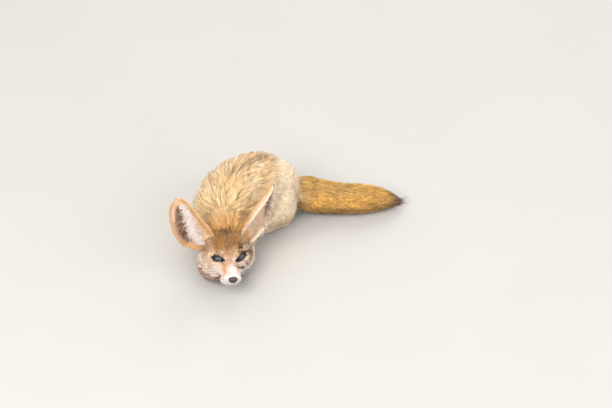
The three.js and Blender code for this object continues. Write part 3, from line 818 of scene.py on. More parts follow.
def tuftPiece(name, slotName, roots, normals, lies, sizes, hues, places):
    count = len(roots)
    shares = np.array([0, 0.3, 0.65, 1.0] if sizes["long"].mean() > tuftSettings["long"] else [0, 0.5, 1.0])
    fullness = np.interp(shares, [0, 0.3, 0.65, 1], [0.75, 1, 0.7, 0])
    blends = np.interp(shares, [0, 0.35, 0.75, 1], [0, 1, 1, 2])
    side = unit(np.cross(lies, normals))
    half = sizes["wide"] / 2
    tip = (len(shares) - 1) * 3
    verts, ringHues = np.empty((2, count, tip + 1, 3))
    for k, (s, full, blend) in enumerate(zip(shares, fullness, blends)):
        rise = sizes["high"] * (1 - (1 - s) ** 2) - tuftSettings["depth"] * (1 - s)
        centre = roots + lies * (sizes["long"] * s)[:, None] + normals * rise[:, None]
        centre += sizes["pull"] * s**1.6
        ridge = normals * (half * tuftSettings["ridge"] * full)[:, None]
        edge = side * (half * full)[:, None]
        ring = np.stack([centre - edge - ridge * 0.4, centre + ridge, centre + edge - ridge * 0.4], 1)
        verts[:, k * 3 : k * 3 + 3] = ring[:, : tip + 1 - k * 3]
        low, high = hues[:2] if blend <= 1 else hues[1:]
        ringHues[:, k * 3 : k * 3 + 3] = (low + (high - low) * (blend if blend <= 1 else blend - 1))[:, None]
    verts[..., 2] = np.maximum(verts[..., 2], tuftSettings["floor"])
    faces = [(0, 2, 1)]
    for k in range(0, tip - 3, 3):
        for a, b in bladeTurns:
            faces += [(k + a, k + b, k + b + 3), (k + a, k + b + 3, k + a + 3)]
    faces += [(tip - 3 + a, tip - 3 + b, tip) for a, b in bladeTurns]
    index = (np.array(faces)[None] + np.arange(count)[:, None, None] * (tip + 1)).reshape(-1)
    mesh = bpy.data.meshes.new(name)
    mesh.vertices.add(count * (tip + 1))
    setPoints(mesh, verts.reshape(-1, 3))
    mesh.loops.add(len(index))
    mesh.loops.foreach_set("vertex_index", index.astype(np.int32))
    mesh.polygons.add(len(index) // 3)
    mesh.polygons.foreach_set("loop_start", np.arange(0, len(index), 3, dtype=np.int32))
    mesh.polygons.foreach_set("loop_total", np.full(len(index) // 3, 3, dtype=np.int32))
    mesh.update(calc_edges=True)
    setColours(mesh, ringHues.reshape(-1, 3))
    # each tuft's small patch of the map stands at its root's place on the unwrapped skin
    patch = tuftSettings["patch"]
    spreadU = np.append(np.tile([0, 0.5, 1], tip // 3), 0.5) * patch
    spreadV = np.append(np.repeat(shares[:-1], 3), 1) * patch
    uv = (places[:, None] * (1 - patch) + np.stack([spreadU, spreadV], -1)[None]).reshape(-1, 2)
    mesh.uv_layers.new(name="OFBake").data.foreach_set("uv", uv[index].astype(np.float32).ravel())
    fitToFox(newPiece(name, mesh), hairMaterial, slotName)
    print(name, count, "tufts", len(faces) * count, "triangles")


# hair bends towards the tip of the tuft nearest it, so that the coat breaks into locks
def clumpPull(roots, lies, tips, strength, perClump, rng):
    chosen = rng.choice(len(roots), max(1, len(roots) // perClump), replace=False)
    tree = pointTree(roots[chosen])
    nearest = chosen[[tree.find(root)[1] for root in roots]]
    pull = tips[nearest] - tips
    pull -= lies * (pull * lies).sum(1)[:, None] * 0.6
    return pull * strength[:, None], np.linalg.norm(roots - roots[nearest], axis=1)


skin.data.calc_loop_triangles()
corners = readArray(skin.data.loop_triangles, "vertices", 3, np.int32)
pointNormals = readArray(skin.data.vertices, "normal", 3).astype(float)
middles = skinPoints[corners].mean(1)
a, b, c = (skinPoints[corners[:, k]] for k in range(3))
crossing = np.cross(b - a, c - a)
areas = np.linalg.norm(crossing, axis=1) / 2
triangleKinds, _ = coatFit(middles)
mainKind = triangleKinds.argmax(1)
density = kindBlend(triangleKinds, "thick") / 100
# hardly any where the fox lies on the floor, none on the eyes and the nose
density *= np.where((middles[:, 2] < 2.5) & (unit(crossing)[:, 2] < -0.6), 0.1, 1.0)
for _, side in sides:
    density *= almondReach(middles, side) > 1.14
bareNose = {"middle": (0, -43, -12.6), "radii": (7.2, 6, 5.8)}
density *= (((toHead(middles) - bareNose["middle"]) / bareNose["radii"]) ** 2).sum(1) > 1
print("coat regions", {name: int(areas[mainKind == k].sum() / 100) for k, name in enumerate(kindNames)})


# a place on the skin's own unwrap: one square for each limb, across it by turn and up it by length
def unwrapPlaces(points):
    main = np.argmin([limbFit(points, limb)[0] for limb in limbs], 0)
    present = np.unique(main)
    columns = math.ceil(math.sqrt(len(present)))
    places = np.zeros((len(points), 2))
    for order, k in enumerate(present):
        rows = main == k
        _, share, turn, _ = limbFit(points[rows], limbs[k])
        cell = (order % columns, order // columns)
        places[rows] = (np.column_stack([turn / 6.2832 + 0.5, share]) * 0.97 + 0.01 + cell) / columns
    return places


def growCoat(name, slotName, kinds, seed):
    rng = np.random.default_rng(seed)
    chance = areas * density * np.isin(mainKind, [kindNames.index(kind) for kind in kinds])
    count = int(chance.sum())
    pick = rng.choice(len(chance), count, p=chance / chance.sum())
    a, b = rng.random((2, count))
    flip = a + b > 1
    a[flip], b[flip] = 1 - a[flip], 1 - b[flip]
    share = np.column_stack([1 - a - b, a, b])[..., None]
    roots = (skinPoints[corners[pick]] * share).sum(1)
    normals = unit((pointNormals[corners[pick]] * share).sum(1))
    kindWeights, lies = coatFit(roots)

    def part(*names):
        return kindPart(kindWeights, *names)

    # hair turns away from each eye, and is shorter round it
    short = np.ones(count)
    for _, side in sides:
        reach = almondReach(roots, side)
        off = unit(roots - fromHead(eyeFrame(side)[0]))
        lies = unit(lies) + off * (4 * bell(reach, 1, 0.45))[:, None]
        short *= 0.4 + 0.6 * ramp(reach, 1.1, 2.1)
    damp, drawn = dampHair(roots)
    damp = damp * part("face", "ruff", "muzzle")
    lies = flatOn(normals, unit(lies) + drawn * (2.5 * damp)[:, None])
    wander = waves(roots, 60, 91) * 16 * part("back") + waves(roots, 30, seed + 1) * 13
    wander = np.radians(wander + waves(roots, 9, seed + 2) * 8)
    wander += np.radians(rng.normal(size=count) * kindBlend(kindWeights, "spread"))
    lies = swung(normals, lies, wander)
    vary = (1 + 0.16 * rng.normal(size=count)) * short
    # the brush closes to a point
    _, tailShare, tailTurn, _ = limbFit(roots, tailLimb)
    brush = part("brush")
    vary *= 1 - 0.55 * brush * ramp(tailShare, 0.72, 1.0)
    vary *= 1 + 0.35 * brush * rng.normal(size=count) * (1 - ramp(np.sin(tailTurn), -0.6, 0.2))
    lift = 1 + 0.2 * brush * (1 - ramp(tailShare, 0.15, 0.5)) * np.sin(tailTurn)
    vary *= 1 + 0.7 * damp
    high = kindBlend(kindWeights, "high") * np.clip(1 + 0.22 * rng.normal(size=count), 0.5, 1.5)
    sizes = {
        "long": kindBlend(kindWeights, "long") * np.clip(vary, 0.3, 1.5),
        "high": high * short * lift,
        "wide": kindBlend(kindWeights, "wide") * rng.uniform(0.75, 1.25, count),
    }
    tips = roots + lies * sizes["long"][:, None] + normals * sizes["high"][:, None]
    clumping = np.maximum(kindBlend(kindWeights, "clump"), 0.85 * damp)
    sizes["pull"], far = clumpPull(roots, lies, tips, clumping, tuftSettings["perClump"], rng)
    # colours: a darker root colour, painted shade that shows between locks, the marking, and lighter or darker
    # tips
    fineKinds = part("face", "muzzle", "jaw", "paw", "leg")
    face, smooth = part("face", "ruff"), part("haunch")
    low = 1 - ramp(toHead(roots)[:, 2], -6, 4)
    # tufts at the edges of the locks are darkened: painted shade between the locks
    lockEdgeShade = ramp(far, *np.percentile(far, (70, 97))) * (1 - fineKinds)
    streaky = part("back") + 0.5 * part("nape")
    streaks = ramp(waves(roots * (1, 1, 0.6), 12, 77), 0.35, 1.1) * streaky
    hue = markings(roots, kindWeights)
    hue = painted(
        hue * np.exp(rng.normal(size=count) * (0.13 + 0.11 * face - 0.07 * smooth))[:, None],
        ((rng.random(count) < 0.12) * face * low * 0.6, "white"),
        ((rng.random(count) < 0.1) * face * 0.6, "forehead"),
        ((rng.random(count) < 0.13) * face * (1 - low) * 0.8, "browStreak"),
        (damp * (rng.random(count) < 0.3), "browStreak"),
        # the streak tone here is painted shade at the lock edges and dark hair in the streaks
        (np.maximum(lockEdgeShade * 0.3, streaks * 0.25) * rng.uniform(0.4, 1.2, count), "streak"),
    )
    darkHair = (rng.random(count) < 0.07 + 0.1 * streaks) * streaky
    darkHair = np.maximum(darkHair, (rng.random(count) < 0.08) * brush * ramp(tailShare, 0.1, 0.6))
    hue = painted(hue, (darkHair * 0.8, "streak"))
    # the roots are painted darker as painted shade between the locks, less on short hair
    shadedRoots = hue * (0.6 + 0.28 * fineKinds + 0.22 * smooth)[:, None]
    tipHue = painted(hue * 1.1, ((rng.random(count) < 0.08) * streaky * 0.8, "streak"))
    places = unwrapPlaces(roots)
    trianglesEach = 16 if sizes["long"].mean() > tuftSettings["long"] else 10
    parts = math.ceil(count * trianglesEach / tuftSettings["mostTriangles"])
    group = np.argsort(np.argsort(roots[:, 0] + 0.3 * roots[:, 1])) * parts // count
    for k in range(parts):
        mine = group == k
        label = name if parts == 1 else f"{name}_{k + 1}"
        ours = {key: value[mine] for key, value in sizes.items()}
        hues = (shadedRoots[mine], hue[mine], tipHue[mine])
        tuftPiece(label, slotName, roots[mine], normals[mine], lies[mine], ours, hues, places[mine])


# wet hair stuck together: thin dark locks laid along the streaks
dampLocks = {"perMm": 2.3, "long": (5, 10), "high": 2.7, "wide": 0.68, "deepest": -10, "spread": 13}


def growDampLocks(name, seed):
    rng = np.random.default_rng(seed)
    local = toEye(skinPoints, 1)
    usable = np.flatnonzero((local[:, 2] > dampLocks["deepest"]) & (almondReach(skinPoints, 1) > 1.15))
    tree = pointTree(local[usable] * acrossSight)
    rows, lies = [], []
    for ends, way, radius, strength in streakLines():
        line = ends[1] - ends[0]
        for share in rng.uniform(-0.1, 0.9, int(np.linalg.norm(line) * dampLocks["perMm"] * strength)):
            place = ends[0] + line * share + rng.normal(size=3) * radius * (0.5, 0.5, 0)
            rows.append(usable[tree.find(place)[1]])
            lies.append(way)
    count = len(rows)
    roots, normals = skinPoints[rows] + rng.normal(size=(count, 3)) * 0.3, pointNormals[rows]
    lies = flatOn(normals, unit(np.array(lies, float)) @ headTurn.T)
    lies = swung(normals, lies, np.radians(rng.normal(size=count) * dampLocks["spread"]))
    sizes = {
        "long": rng.uniform(*dampLocks["long"], count),
        "high": dampLocks["high"] * rng.uniform(0.7, 1.3, count),
        "wide": dampLocks["wide"] * rng.uniform(0.7, 1.3, count),
        "pull": np.zeros((count, 3)),
    }
    hue = painted(np.tile(tones["damp"], (count, 1)), (rng.random(count) ** 1.5, "browStreak"))
    tuftPiece(name, "face_coat", roots, normals, lies, sizes, (hue, hue, hue * 1.2), unwrapPlaces(roots))


growDampLocks("coat_damp", 190)
coatPieces = {
    "coat_back": ("back_coat", "back"),
    "coat_nape": ("nape_coat", "nape"),
    "coat_belly": ("pale_coat", "throat belly"),
    "coat_haunches": ("pale_coat", "haunch"),
    "coat_brush": ("tail_coat", "brush"),
    "coat_ruff": ("face_coat", "ruff"),
    "coat_face": ("face_coat", "face"),
    "coat_muzzle": ("white_coat", "muzzle jaw"),
    "coat_legs": ("pale_coat", "leg paw"),
}
for order, (name, (slotName, kinds)) in enumerate(coatPieces.items()):
    growCoat(name, slotName, kinds.split(), 100 + order * 10)


# Ears: a leaf-shaped sheet rolled into a cup, with short hair outside and a pale fringe inside.
# A hollow's rows are its place along the ear, its middle and its half width across; a fringe's have no width.
# an ear's depth is how dark the painted shade in its hollow is
earSettings = {"length": 109, "halfWidth": 31, "wall": 2.2, "rows": 60, "columns": 40, "perClump": 7}
leaf = [
    (0, 0.52), (0.08, 0.65), (0.2, 0.83), (0.33, 0.96), (0.52, 0.93),
    (0.7, 0.8), (0.83, 0.67), (0.92, 0.52), (0.97, 0.37), (1, 0.13),
]
leafLine = smoothPath(leaf, np.linspace(0, 1, 200))
ears = {
    "right": {
        "side": -1,
        "root": (-25, 38, 0),
        "reach": (-49.5, -9.5, 98.5),
        "turn": 4,
        "twist": 0,
        "roll": 48,
        "bow": 8.5,
        "hollow": (
            (0.3, 0.46, 0.2), (0.45, 0.42, 0.27), (0.62, 0.28, 0.38), (0.78, 0.12, 0.32), (0.88, 0.06, 0.2),
        ),
        "depth": 1.0,
        "fringe": ((0.1, 0.2), (0.3, 0.06), (0.45, -0.14), (0.6, -0.36), (0.75, -0.46), (0.9, -0.45)),
        "fringeHalf": 0.15,
        "fringeLong": 8.5,
        "fringeTone": "earFringe",
        # this ear's outer rim is painted darker, in the tan of its back: painted shade
        "outer": "earTan",
    },
    "left": {
        "side": 1,
        "root": (27, 40, -1),
        "reach": (50.5, 4.5, 97),
        "turn": 14,
        "twist": 58,
        "roll": 66,
        "bow": -1.5,
        "hollow": (
            (0.45, 0.8, 0.1), (0.58, 0.68, 0.16), (0.7, 0.58, 0.2), (0.8, 0.42, 0.25), (0.96, 0.36, 0.4),
        ),
        "depth": 0.85,
        "fringe": ((0.1, 0.1), (0.3, 0.05), (0.5, -0.05), (0.65, -0.1), (0.78, -0.25), (0.9, -0.3)),
        "fringeHalf": 0.24,
        "fringeLong": 7,
        # this ear's fringe is painted warmer: painted warm light bounced into the shaded cup
        "fringeTone": "earFringeWarmLight",
        # this ear's outer rim, in shade inside the cup, is painted paler: painted light
        "outer": "earPale",
    },
}


# points of the ear's middle sheet in the head: u from its inner edge (-1) to its outer (1), t from root to tip
def earPoints(ear, u, t):
    axis = unit(np.array(ear["reach"], float))
    forward = spin("z", ear["turn"]) @ (0, -1, 0)
    facing = unit(forward - axis * (forward @ axis))
    across = np.cross(axis, facing) * ear["side"]
    wrap = math.radians(ear["roll"]) * (1.55 - 1.25 * t + 0.55 * t * t)
    radius = np.interp(t, *leafLine.T) * earSettings["halfWidth"] / wrap
    lean = ear["bow"] * np.sin(np.pi * t)
    twisted = math.radians(ear["twist"]) * t
    wide, deep = radius * np.sin(u * wrap), radius * (np.cos(wrap / 2) - np.cos(u * wrap))
    return (
        np.array(ear["root"], float)
        + axis * (earSettings["length"] * t)[:, None]
        + across * (wide * np.cos(twisted) + deep * np.sin(twisted) + lean)[:, None]
        + facing * (deep * np.cos(twisted) - wide * np.sin(twisted) + 0.4 * lean)[:, None]
    )


# the sheet's normal towards the inside of the cup, and the ways along u and t, in the fox's millimetres
def earSheet(ear, u, t, step=0.02):
    overU = unit(earPoints(ear, u + step, t) - earPoints(ear, u - step, t)) @ headTurn.T
    above, below = earPoints(ear, u, np.minimum(1, t + step)), earPoints(ear, u, np.maximum(0, t - step))
    overT = unit(above - below) @ headTurn.T
    return fromHead(earPoints(ear, u, t)), unit(np.cross(overU, overT)) * ear["side"], overU, overT


def halfWall(u, t):
    return earSettings["wall"] * (1 - 0.8 * u**4) * (1.25 - 0.6 * t) / 2


def earLine(rows, t):
    places = np.array(rows).T
    return [np.interp(t, places[0], values) for values in places[1:]]


# 0 to 1, how deep in the hollow a place is, where the ear's inside is painted brown as painted shade
def hollowShare(ear, u, t):
    middle, half = earLine(ear["hollow"], t)
    first, last = ear["hollow"][0][0], ear["hollow"][-1][0]
    ends = ramp(t, first - 0.14, first + 0.04) * (1 - ramp(t, last - 0.04, last + 0.06))
    return np.exp(-(((u - middle) / (half * 1.1)) ** 4)) * ends * ear["depth"]


def earHues(ear, u, t, inside):
    patch = 0.5 + 0.5 * waves(np.column_stack([u * 30, t * 109, t * 0]), 16, 55)
    low = (1 - ramp(t, 0.08, 0.42)) * (0.5 + 0.5 * patch)
    layers = [
        (ramp(-u, 0.45, 0.8) * (0.6 + 0.4 * patch), "earGold"),
        (ramp(t, 0.86, 0.94) * 0.6, "earTan"),
        (low * ramp(u, 0.2, 0.6) * 0.9, "earGold"),
        (low * (1 - ramp(u, -0.2, 0.3)) * 0.7, "earTan"),
        # painted shade deep in the cup
        (hollowShare(ear, u, t) * (0.85 + 0.15 * patch), "earCavity"),
    ] if inside else [
        (patch * 0.4, "earGold"),
        ((1 - ramp(t, 0, 0.5)) * 0.5, "earRim"),
        (ramp(-u, 0.35, 0.6) * (1 - ramp(t, 0.35, 0.6)) * patch, "earGold"),
        (ramp(-u, 0.4, 0.6) * ramp(t, 0.35, 0.6) * 0.7, "earRim"),
        (ramp(-u, 0.7, 0.84) * 0.9, "earLight"),
    ]
    # the outer rim takes each ear's own tone: painted shade on the right ear, painted light on the left
    layers += [(ramp(-u, 0.95, 0.99) * 0.5, "earRim"), (ramp(u, 0.68, 0.9) * 0.8, ear["outer"])]
    return painted(np.tile(tones["earPink" if inside else "earTan"], (len(u), 1)), *layers)


def makeEar(label, ear, seed):
    rows, ring = earSettings["rows"], 2 * earSettings["columns"]
    over = np.linspace(-1, 1, earSettings["columns"])
    u = np.tile(np.append(over, -over), rows + 1)
    t = np.repeat(np.sin(np.arange(rows + 1) / rows * math.pi / 2), ring)  # rows close up towards the tip
    face = np.tile(np.repeat((-1.0, 1.0), ring // 2), rows + 1)[:, None]
    middle, inwards, _, _ = earSheet(ear, u * 0.985, t * 0.99 + 0.002)
    hues = np.where(face > 0, earHues(ear, u, t, True), earHues(ear, u, t, False)) * 0.9
    faces = ringFaces(rows + 1, ring) + endCaps(rows + 1, ring)
    verts = middle + inwards * face * halfWall(u, t)[:, None]
    closedPiece(f"fox_ear_{label}", verts, faces, hues, skinMaterial, "ear_coat", f"ear_{label}")
    growEarHair(f"coat_ear_{label}", ear, seed)


# bands of ear hair: where they grow, how many, how long, how far they lean along u and t, and on which face
earHair = table("u t count long high wide lean face", {
    "back": ((-1, 1), (0.0, 1.0), 3600, 6.5, 1.1, 0.85, (0.05, 1), -1),
    "lining": ((-1, 1), (0.03, 0.98), 2600, 5, 0.9, 0.55, (0.35, 1), 1),
    "innerRim": ((-1, -0.84), (0.02, 1.0), 1200, 6.5, 1.6, 0.6, (0.8, 0.9), 1),
    "outerRim": ((0.84, 1), (0.02, 1.0), 1200, 5.5, 1.3, 0.6, (-0.5, 1), 1),
    "fringe": (None, (0.08, 0.88), 2300, 9.5, 4.0, 0.7, (1, 0.2), 1),
    "strands": (None, (0.3, 0.86), 170, 10, 3.0, 0.5, (1, -0.3), 1),
    "root": ((-1, 0.3), (0.0, 0.16), 900, 10, 2.6, 0.8, (0.5, 1), 1),
})


def growEarHair(name, ear, seed):
    rng = np.random.default_rng(seed)
    groups = []
    for label, hair in earHair.items():
        count = hair["count"]
        t = rng.uniform(*hair["t"], count)
        if label == "fringe":
            u = earLine(ear["fringe"], t)[0] + ear["fringeHalf"] * rng.normal(size=count) - 0.12
        elif label == "strands":
            middle, half = earLine(ear["hollow"], t)
            u = middle + half * rng.uniform(-1, 1, count)
        else:
            u = rng.uniform(*hair["u"], count)
        keep = rng.random(count) < np.interp(t, [0, 0.33, 0.8, 1], [0.75, 1, 0.7, 0.35])
        u, t = np.clip(u, -1, 1)[keep], t[keep]
        count = len(u)
        middle, inwards, overU, overT = earSheet(ear, u * 0.985, np.clip(t, 0, 0.985))
        normal = inwards * hair["face"]
        lean = np.array(hair["lean"]) + rng.normal(size=(count, 2)) * (0.11 if label == "fringe" else 0.13)
        hue = earHues(ear, u, t, hair["face"] > 0)
        if label == "fringe":
            lean[:, 1] += 0.25 * waves(np.column_stack([u * 31, t * 109, t * 0]), 14, seed)
            side = ramp(earLine(ear["fringe"], t)[0] - u, 0.1, 0.5)
            hue = painted(hue, (1 - 0.5 * side * rng.random(count), ear["fringeTone"]))
            hue *= rng.uniform(0.8, 1.05, (count, 1))
        elif label == "strands":
            pink, dark = (rng.random(count) < 0.6) * 0.75, (rng.random(count) < 0.25) * 0.7
            hue = painted(hue, (pink, "earPink"), (dark, "damp"))
        elif label == "root":
            hue = painted(hue, (np.full(count, 0.5), "napePale"))
        elif label == "back":
            dark = (rng.random(count) < 0.12) * ramp(-u, 0.4, 0.8) * (1 - ramp(t, 0.4, 0.55))
            hue = painted(hue, (dark * 0.8, "streak"))
        hue *= np.exp(rng.normal(size=count) * 0.1)[:, None]
        long = hair["long"] * rng.uniform(0.7, 1.25, count)
        if label == "fringe":
            long *= ear["fringeLong"] / hair["long"] * np.sin(np.pi * np.clip(t, 0.05, 0.95)) ** 0.4
        else:
            long *= 1 - 0.6 * ramp(t, 0.86, 1)
        high = hair["high"] * rng.uniform(0.6, 1.3, count)
        lie = flatOn(normal, overU * lean[:, :1] + overT * lean[:, 1:])
        root = middle + normal * halfWall(u, t)[:, None]
        strength = np.full(count, 0.55 if label == "fringe" else 0.2)
        tips = root + lie * long[:, None] + normal * high[:, None]
        pull, _ = clumpPull(root, lie, tips, strength, earSettings["perClump"], rng)
        wide = hair["wide"] * rng.uniform(0.7, 1.3, count)
        place = np.column_stack([(u + 1) / 4.2 + (0.5 if hair["face"] > 0 else 0) + 0.005, t * 0.98 + 0.005])
        groups.append((root, normal, lie, long, high, wide, pull, hue, place))
    root, normal, lie, *sizes, hue, place = (np.concatenate(values) for values in zip(*groups))
    sizes = dict(zip(("long", "high", "wide", "pull"), sizes))
    # the ear hair's roots are painted darker, as painted shade between the hairs
    tuftPiece(name, "ear_coat", root, normal, lie, sizes, (hue * 0.78, hue, hue * 1.08), place)


makeEar("right", ears["right"], 301)
makeEar("left", ears["left"], 302)
print("ears")


def ballMesh(name, create, **options):
    shape = bmesh.new()
    create(shape, **options)
    mesh = bpy.data.meshes.new(name)
    shape.to_mesh(mesh)
    shape.free()
    return mesh, np.array([vert.co for vert in mesh.vertices])


def ballPiece(mesh, points, colours, material, slotName, node):
    setPoints(mesh, points)
    setColours(mesh, colours)
    fitToFox(newPiece(mesh.name, mesh), material, slotName, node)


# Eyes: a ball with a dark iris, tinted blue-grey as painted sky reflection, and a black pupil, and the dark rim
# of the lids
def makeEye(label, side):
    radius = headSettings["eyeRadius"]
    sphere = bmesh.ops.create_uvsphere
    mesh, local = ballMesh(f"fox_eye_{label}", sphere, u_segments=48, v_segments=32, radius=radius)
    off = np.hypot(local[:, 0] * 1.15, local[:, 1]) / radius
    behind = np.maximum(ramp(off, 0.66, 0.8), local[:, 2] < 0)
    # the iris's blue-grey is a painted reflection of the pale sky
    irisWithSkyReflection = np.tile(tones["irisWithSkyReflection"], (len(local), 1))
    colours = painted(irisWithSkyReflection, (1 - ramp(off, 0.3, 0.38), "pupil"), (behind, "lidDark"))
    local[:, 2] *= 1 + 0.05 * bell(off, 0, 0.5)
    ballPiece(mesh, fromEye(local, side), colours, eyeMaterial, "eye_gloss", f"eye_{label}")


# the dark margins of the lids: share of the almond and of the lids' height, round one section
rimSection = ((0.9, 0.84), (0.97, 0.955), (1.04, 1.0), (1.13, 1.005), (1.2, 0.985), (1.2, 0.9), (1.02, 0.82))


def lidRim(label, side, steps=72):
    turns = (np.arange(steps) + 0.5) / steps * 2 * np.pi
    rings = np.stack([lidPoint(side, turns, share, height) for share, height in rimSection], 1)
    faces = ringFaces(steps, len(rimSection), closed=True)
    closedPiece(f"lid_rim_{label}", rings.reshape(-1, 3), faces, tones["rim"], rimMaterial, "eye_gloss")


for label, side in sides:
    makeEye(label, side)
    lidRim(label, side)
print("eyes")

# Nose: a moist pad with comma-shaped nostrils and a groove below
noseSettings = {
    "centre": (0, -42.5, -12.4),
    "radii": (6.7, 5.2, 4.9),
    "nostril": (3.3, -0.2),
    "nostrilDepth": 2.4,
    "grooveDepth": 0.8,
}


def makeNose():
    mesh, p = ballMesh("fox_nose", bmesh.ops.create_icosphere, subdivisions=5, radius=1)
    shaped = p * noseSettings["radii"]
    shaped[:, 0] *= 1 + 0.36 * p[:, 2]
    shaped[:, 2] += 0.5 * (1 - p[:, 0] ** 2)
    x, z = np.abs(shaped[:, 0]), shaped[:, 2]
    nx, nz = noseSettings["nostril"]
    front = ramp(-p[:, 1], 0.1, 0.6)
    hole = np.exp(-(((x - nx) / 1.35) ** 2) - ((z - nz) / 1.0) ** 2)
    slit = np.exp(-(((x - nx - 1.7) / 1.3) ** 2) - ((z - nz + 0.7) / 0.55) ** 2)
    dent = np.clip(hole + slit * 0.8, 0, 1) * front
    groove = bell(x, 0, 0.55) * ramp(-z, 0.2, 1.5) * front
    shaped[:, 1] += dent * noseSettings["nostrilDepth"] + groove * noseSettings["grooveDepth"]
    # a painted highlight over the top of the pad
    shine = ramp(p[:, 2], 0.45, 0.95) * 0.4
    dark = np.tile(tones["noseDark"], (len(p), 1))
    # the nostrils and the groove below them are painted near black: painted shade in the hollows
    colours = painted(dark, (dent * 1.2 + groove * 0.5, "nostril"), (shine, "noseShine"))
    ballPiece(mesh, fromHead(shaped + noseSettings["centre"]), colours, noseMaterial, "nose_leather", "nose")


makeNose()
skinTree = pointTree(skinPoints)
lineSettings = {"points": 30, "turns": 8, "smooth": 6}


# a thin dark line that follows the skin, sunk into it by its own half
def skinLine(name, headPoints, radius):
    count, turns = lineSettings["points"], lineSettings["turns"]
    wanted = fromHead(smoothPath(headPoints, np.linspace(0, 1, count)))
    line = np.array([skinTree.find(point)[0] for point in wanted])
    for _ in range(lineSettings["smooth"]):
        line[1:-1] = (line[:-2] + 2 * line[1:-1] + line[2:]) / 4
    radii = radius * np.sqrt(np.clip(np.sin(np.linspace(0.06, 3.08, count)), 0, 1))[:, None, None]
    along = unit(np.gradient(line, axis=0))
    side = unit(np.cross(along, line - line.mean(0) + (0, 0, 1e-3)))
    other = np.cross(along, side)
    angle = (np.arange(turns) / turns * 2 * np.pi)[None, :, None]
    verts = line[:, None] + radii * (side[:, None] * np.cos(angle) + other[:, None] * np.sin(angle))
    faces = ringFaces(count, turns) + endCaps(count, turns)
    closedPiece(name, verts.reshape(-1, 3), faces, tones["lip"], rimMaterial, "nose_leather")


for label, side in sides:
    skinLine(f"lip_line_{label}", np.array(lipPath) * (side, 1, 1), 0.9)
skinLine("lip_groove", [(0, -46, -16.6), (0, -45.5, -18.5), (0, -44, -20.5), (0, -42.5, -22)], 0.55)
print("nose and lips")


# Whiskers, lashes and claws: tapered, bent spikes on points that carry a way to point and a length
spikeSockets = {
    "Root radius": "Float",
    "Tip share": "Float",
    "Bend": "Float",
    "Length spread": "Float",
    "Seed": "Int",
    "Material": "Material",
}


def spikeTree():
    tree = bpy.data.node_groups.new("bentSpikes", "GeometryNodeTree")
    for label, kind in {"Geometry": "Geometry", **spikeSockets}.items():
        tree.interface.new_socket(label, in_out="INPUT", socket_type="NodeSocket" + kind)
    tree.interface.new_socket("Geometry", in_out="OUTPUT", socket_type="NodeSocketGeometry")
    given = tree.nodes.new("NodeGroupInput").outputs

    def stored(name, kind):
        return link(tree, "GeometryNodeInputNamedAttribute", {"Name": name}, data_type=kind)

    def worked(one, operation, other):
        return link(tree, "ShaderNodeMath", {0: one, 1: other}, operation=operation)

    middle = link(tree, "ShaderNodeCombineXYZ", {"X": given["Bend"], "Z": 0.5})
    bow = {"Resolution": 7, "Start": (0, 0, 0), "Middle": middle, "End": (0, 0, 1)}
    path = link(tree, "GeometryNodeCurveQuadraticBezier", bow)
    along = link(tree, "GeometryNodeSplineParameter", {})
    taper = link(tree, "ShaderNodeMapRange", {"Value": along, "To Min": 1.0, "To Max": given["Tip share"]})
    thickness = worked(given["Root radius"], "MULTIPLY", taper)
    section = link(tree, "GeometryNodeCurvePrimitiveCircle", {"Resolution": 6, "Radius": 1.0})
    sweep = {"Curve": path, "Profile Curve": section, "Scale": thickness, "Fill Caps": True}
    solid = link(tree, "GeometryNodeCurveToMesh", sweep)
    spread = given["Length spread"]
    chances = {2: worked(1.0, "SUBTRACT", spread), 3: worked(1.0, "ADD", spread), "Seed": given["Seed"]}
    chance = link(tree, "FunctionNodeRandomValue", chances, data_type="FLOAT").outputs[1]
    # the section keeps its real thickness whatever the spike's length: each is stretched along Z alone
    length = worked(stored("reach", "FLOAT"), "MULTIPLY", chance)
    size = link(tree, "ShaderNodeCombineXYZ", {"X": 1.0, "Y": 1.0, "Z": length})
    axes = {"Primary Axis": stored("aim", "FLOAT_VECTOR"), "Secondary Axis": stored("fall", "FLOAT_VECTOR")}
    turned = link(tree, "FunctionNodeAxesToRotation", axes, primary_axis="Z", secondary_axis="X")
    spikes = {"Points": given["Geometry"], "Instance": solid, "Rotation": turned, "Scale": size}
    placed = link(tree, "GeometryNodeInstanceOnPoints", spikes)
    real = link(tree, "GeometryNodeRealizeInstances", {"Geometry": placed})
    dressed = link(tree, "GeometryNodeSetMaterial", {"Geometry": real, "Material": given["Material"]})
    link(tree, "NodeGroupOutput", {"Geometry": dressed})
    return tree


bentSpikes = spikeTree()


def makeSpikes(name, slotName, roots, aims, falls, reaches, settings):
    mesh = bpy.data.meshes.new(name)
    mesh.from_pydata(toFrame(roots).tolist(), [], [])
    for label, values in (("aim", aims), ("fall", falls)):
        layer = mesh.attributes.new(label, "FLOAT_VECTOR", "POINT")
        layer.data.foreach_set("vector", np.asarray(values, np.float32).ravel())
    mesh.attributes.new("reach", "FLOAT", "POINT").data.foreach_set("value", np.asarray(reaches, np.float32))
    piece = newPiece(name, mesh)
    modifier = piece.modifiers.new("spikes", "NODES")
    modifier.node_group = bentSpikes
    wanted = dict(zip(spikeSockets, settings))
    for item in bentSpikes.interface.items_tree:
        if item.name in wanted:
            modifier[item.identifier] = wanted[item.name]
    bakeModifiers(piece)
    piece.data.shade_smooth()
    fitToFox(piece, None, slotName)
    print(name, len(piece.data.polygons), "faces")


whiskerSettings = (0.00017, 0.15, 0.004, 0.18, 3, whiskerMaterial)
lashSettings = (0.0002, 0.1, 0.0012, 0.2, 4, whiskerMaterial)
clawSettings = (0.0013, 0.15, 0.0016, 0.06, 6, clawMaterial)
lashLong, clawLong = 0.0034, 0.0075  # metres, as all that the tree is given


